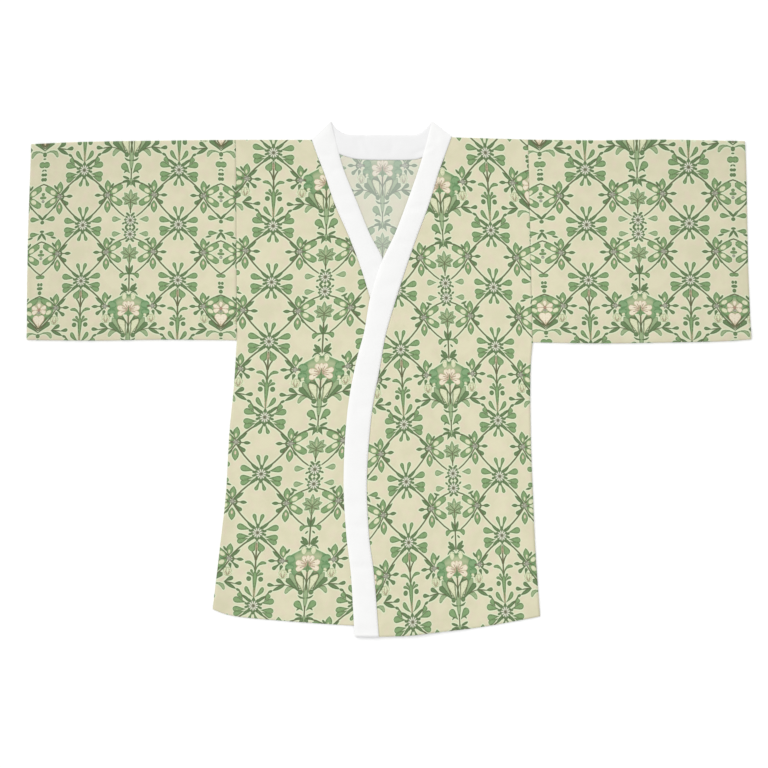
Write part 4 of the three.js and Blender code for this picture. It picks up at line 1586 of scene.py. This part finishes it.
@dataclass
class Neckband(GarmentPiece):
    """The neckband in one strip, folded flat on itself at each shoulder."""

    per_station: int = 14
    back_steps: int = 8
    columns: int = 17
    fold_steps: int = 8
    ease_rows: int = 6
    back_ease_rows: int = 5
    chart_width: float = 50.0

    def materials(self) -> tuple[bpy.types.Material, bpy.types.Material]:
        """White outside, and greyer inside as painted shade, where the band lies lower behind the neck."""
        return self.finishes.band, self.finishes.band_inside_painted_shade

    def cloth(self) -> Cloth:
        """Makes the strip, from the right front's hem round the neck to the left front's.

        Returns:
            The strip's wall.
        """
        w = np.linspace(0, 1, self.columns)
        up = np.array([0.0, 0, 1])

        def cross(rows: Sequence[Sequence[float]], steps: int) -> np.ndarray:
            """The points of one stretch, from its seam across to its free edge."""
            seam, free = band_rows(rows, steps)
            return seam[:, None] * (1 - w[None, :, None]) + free[:, None] * w[None, :, None]

        def loft(plan: np.ndarray, from_fold: np.ndarray, ease: int) -> np.ndarray:
            """Works out the soft height of a stretch.

            Args:
                plan: The stretch's points on the plan.
                from_fold: How many rows away each row's nearest fold is.
                ease: Over how many rows the height eases away at a fold.

            Returns:
                The height at each point, pressed down in the troughs.
            """
            sunk = ridge_sum(BAND_TROUGHS, plan[..., 0], plan[..., 1])
            full = BAND_LOFT * np.sin(np.pi * w)[None, :] ** 0.5
            return full * np.exp(-sunk / BAND_LOFT * TROUGH_PRESS) * smoothstep(from_fold, 0, ease)[:, None]

        right, left = cross(RIGHT_BAND, self.per_station), cross(LEFT_BAND, self.per_station)
        back = cross(BACK_BAND, self.back_steps)
        row, back_row = np.arange(len(right)), np.arange(len(back))
        settle = smoothstep(left[..., 1], *SETTLE_DOWN) * w[None, :]
        heights = [
            BAND_UPPER + loft(right, row, self.ease_rows),
            BAND_LOWER + BACK_LOFT_SHARE * loft(back, np.minimum(back_row, back_row[::-1]),
                                                self.back_ease_rows),
            BAND_UPPER + overlap_rise(left[..., 0], left[..., 1]) - settle
            + loft(left, row, self.ease_rows),
        ]
        radius = (BAND_UPPER - BAND_LOWER) / 2
        angles = np.pi * np.arange(1, self.fold_steps) / self.fold_steps

        def fold(row: np.ndarray, outward: int) -> tuple[np.ndarray, np.ndarray]:
            """Bends the strip over at a shoulder.

            Args:
                row: The plan points of the row that the fold follows.
                outward: The side on which the fold lies.

            Returns:
                The middle points of the fold, and the way that each faces.
            """
            line = lift(row[-1], 0.0) - lift(row[0], 0.0)
            line /= np.linalg.norm(line)
            away = np.array([-line[1], line[0], 0]) * outward
            facing = np.cos(angles)[:, None] * up + np.sin(angles)[:, None] * away
            facing = np.repeat(facing[:, None], len(row), axis=1)
            middle = lift(row, np.full(len(row), BAND_LOWER + radius))[None] + facing * radius
            return middle, facing

        right_fold, left_fold = fold(right[0], 1), fold(left[0], -1)
        middle = np.concatenate([lift(right, heights[0])[::-1], right_fold[0], lift(back, heights[1]),
                                 left_fold[0][::-1], lift(left, heights[2])])
        facing = np.concatenate([np.broadcast_to(up, right.shape[:2] + (3,)), right_fold[1],
                                 np.broadcast_to(-up, back.shape[:2] + (3,)), left_fold[1][::-1],
                                 np.broadcast_to(up, left.shape[:2] + (3,))])
        spine = middle[:, self.columns // 2]
        run = np.concatenate([[0], np.cumsum(np.linalg.norm(np.diff(spine, axis=0), axis=1))])
        chart = np.stack(np.broadcast_arrays(w[None, :] * self.chart_width, run[:, None]), -1)
        half = facing * BAND / 2
        thinned = 1 - EDGE_THINNING * smoothstep(w, THINNED_PAST, 1)[None, :, None]
        return Cloth(middle + half * thinned, middle - half, chart, rounding=(0.3, 0.3, 0.1, 0.3))

    def stitch_lines(self, cloth: Cloth) -> list[np.ndarray]:
        """The seam to each front, close beside it on the band, ending just below the shoulder."""
        rows = (len(RIGHT_BAND) - 2) * self.per_station
        return [cloth.outer[2:rows, 1], cloth.outer[-rows:-2, 1]]


@dataclass(frozen=True)
class Studio:
    """The camera straight above, the pale floor and the soft light, in metres."""

    centre: tuple[float, float] = (-0.010, -0.0105)
    view_width: float = 1.536
    lens: float = 85.0
    sensor: float = 36.0
    sight: float = 100.0
    floor_half: float = 40.0
    floor_colour: Colour = (0.93, 0.93, 0.93)
    sky: float = 0.80
    lamp: float = 0.35
    lamp_angle: float = 60.0
    lamp_towards: tuple[float, float, float] = (-0.62, 0.66, 0.9)
    lamp_away: float = 4.0

    def camera(self) -> None:
        """Sets the camera so that the view is as wide as the picture at the robe's height."""
        data = bpy.data.cameras.new("camera")
        data.type = "PERSP"
        data.lens, data.sensor_width = self.lens, self.sensor
        data.clip_end = self.sight
        camera = bpy.data.objects.new("camera", data)
        camera.location = (*self.centre, self.view_width * self.lens / self.sensor)
        bpy.context.scene.collection.objects.link(camera)
        bpy.context.scene.camera = camera

    def floor(self) -> None:
        """Lays a plain pale floor."""
        half = self.floor_half
        mesh = bpy.data.meshes.new("floor")
        mesh.from_pydata([(-half, -half, 0), (half, -half, 0), (half, half, 0), (-half, half, 0)], [],
                         [(0, 1, 2, 3)])
        dye = Dye("pale_floor")
        shader = dye.node("ShaderNodeBsdfPrincipled", {},
                          {"Base Color": (*self.floor_colour, 1), "Roughness": 0.9,
                           "Specular IOR Level": 0.1})
        mesh.materials.append(dye.finished(shader))
        floor = bpy.data.objects.new("floor", mesh)
        bpy.context.scene.collection.objects.link(floor)

    def light(self) -> None:
        """Lights the robe from a white sky and one wide soft lamp at the upper left."""
        scene = bpy.context.scene
        scene.view_settings.view_transform = "Standard"
        scene.view_settings.look = "None"
        world = scene.world or bpy.data.worlds.new("sky")
        scene.world = world
        world.use_nodes = True
        sky = world.node_tree.nodes["Background"]
        sky.inputs["Color"].default_value = (1, 1, 1, 1)
        sky.inputs["Strength"].default_value = self.sky
        towards = Vector(self.lamp_towards).normalized()
        data = bpy.data.lights.new("soft_lamp", "SUN")
        data.angle, data.energy = math.radians(self.lamp_angle), self.lamp * math.pi / towards.z
        lamp = bpy.data.objects.new("soft_lamp", data)
        lamp.location = towards * self.lamp_away
        lamp.rotation_euler = towards.to_track_quat("Z", "Y").to_euler()
        scene.collection.objects.link(lamp)

    def build(self) -> None:
        """Makes all of it."""
        self.camera()
        self.floor()
        self.light()
        log.info("studio: camera, floor and light")


def main() -> None:
    """Builds the studio and the robe, piece by piece."""
    logging.basicConfig(level=logging.INFO, format="%(name)s: %(message)s")
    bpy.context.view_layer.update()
    Studio().build()
    finishes = Finishes.make()
    sewing = Sewing(finishes.thread)
    pieces: list[GarmentPiece] = [
        Back("back", finishes, sewing, (0.654, 0.961), 0.565, ("floor",)),
        Front("front_right", finishes, sewing, (0.365, 0.972), 0.276, ("back",), side=RIGHT),
        Front("front_left", finishes, sewing, (0.348, 0.994), 0.280, ("front_right", "back"), side=LEFT,
              stations=LEFT_BAND, lay=LEFT_FRONT_LAY, over=True),
        Sleeve("sleeve_right", finishes, sewing, (0.420, 0.810), 0.330, ("floor",), held="folded"),
        Sleeve("sleeve_left", finishes, sewing, (0.446, 0.816), 0.351, ("floor",), held="folded", side=LEFT,
               lay=LEFT_SLEEVE_LAY),
        Neckband("neckband", finishes, sewing, (0.049, 2.32), 0.110, ("front_right", "front_left", "back"),
                 held="folded", slot="neckband_cloth"),
    ]
    for piece in pieces:
        piece.build()


if __name__ == "__main__":
    main()
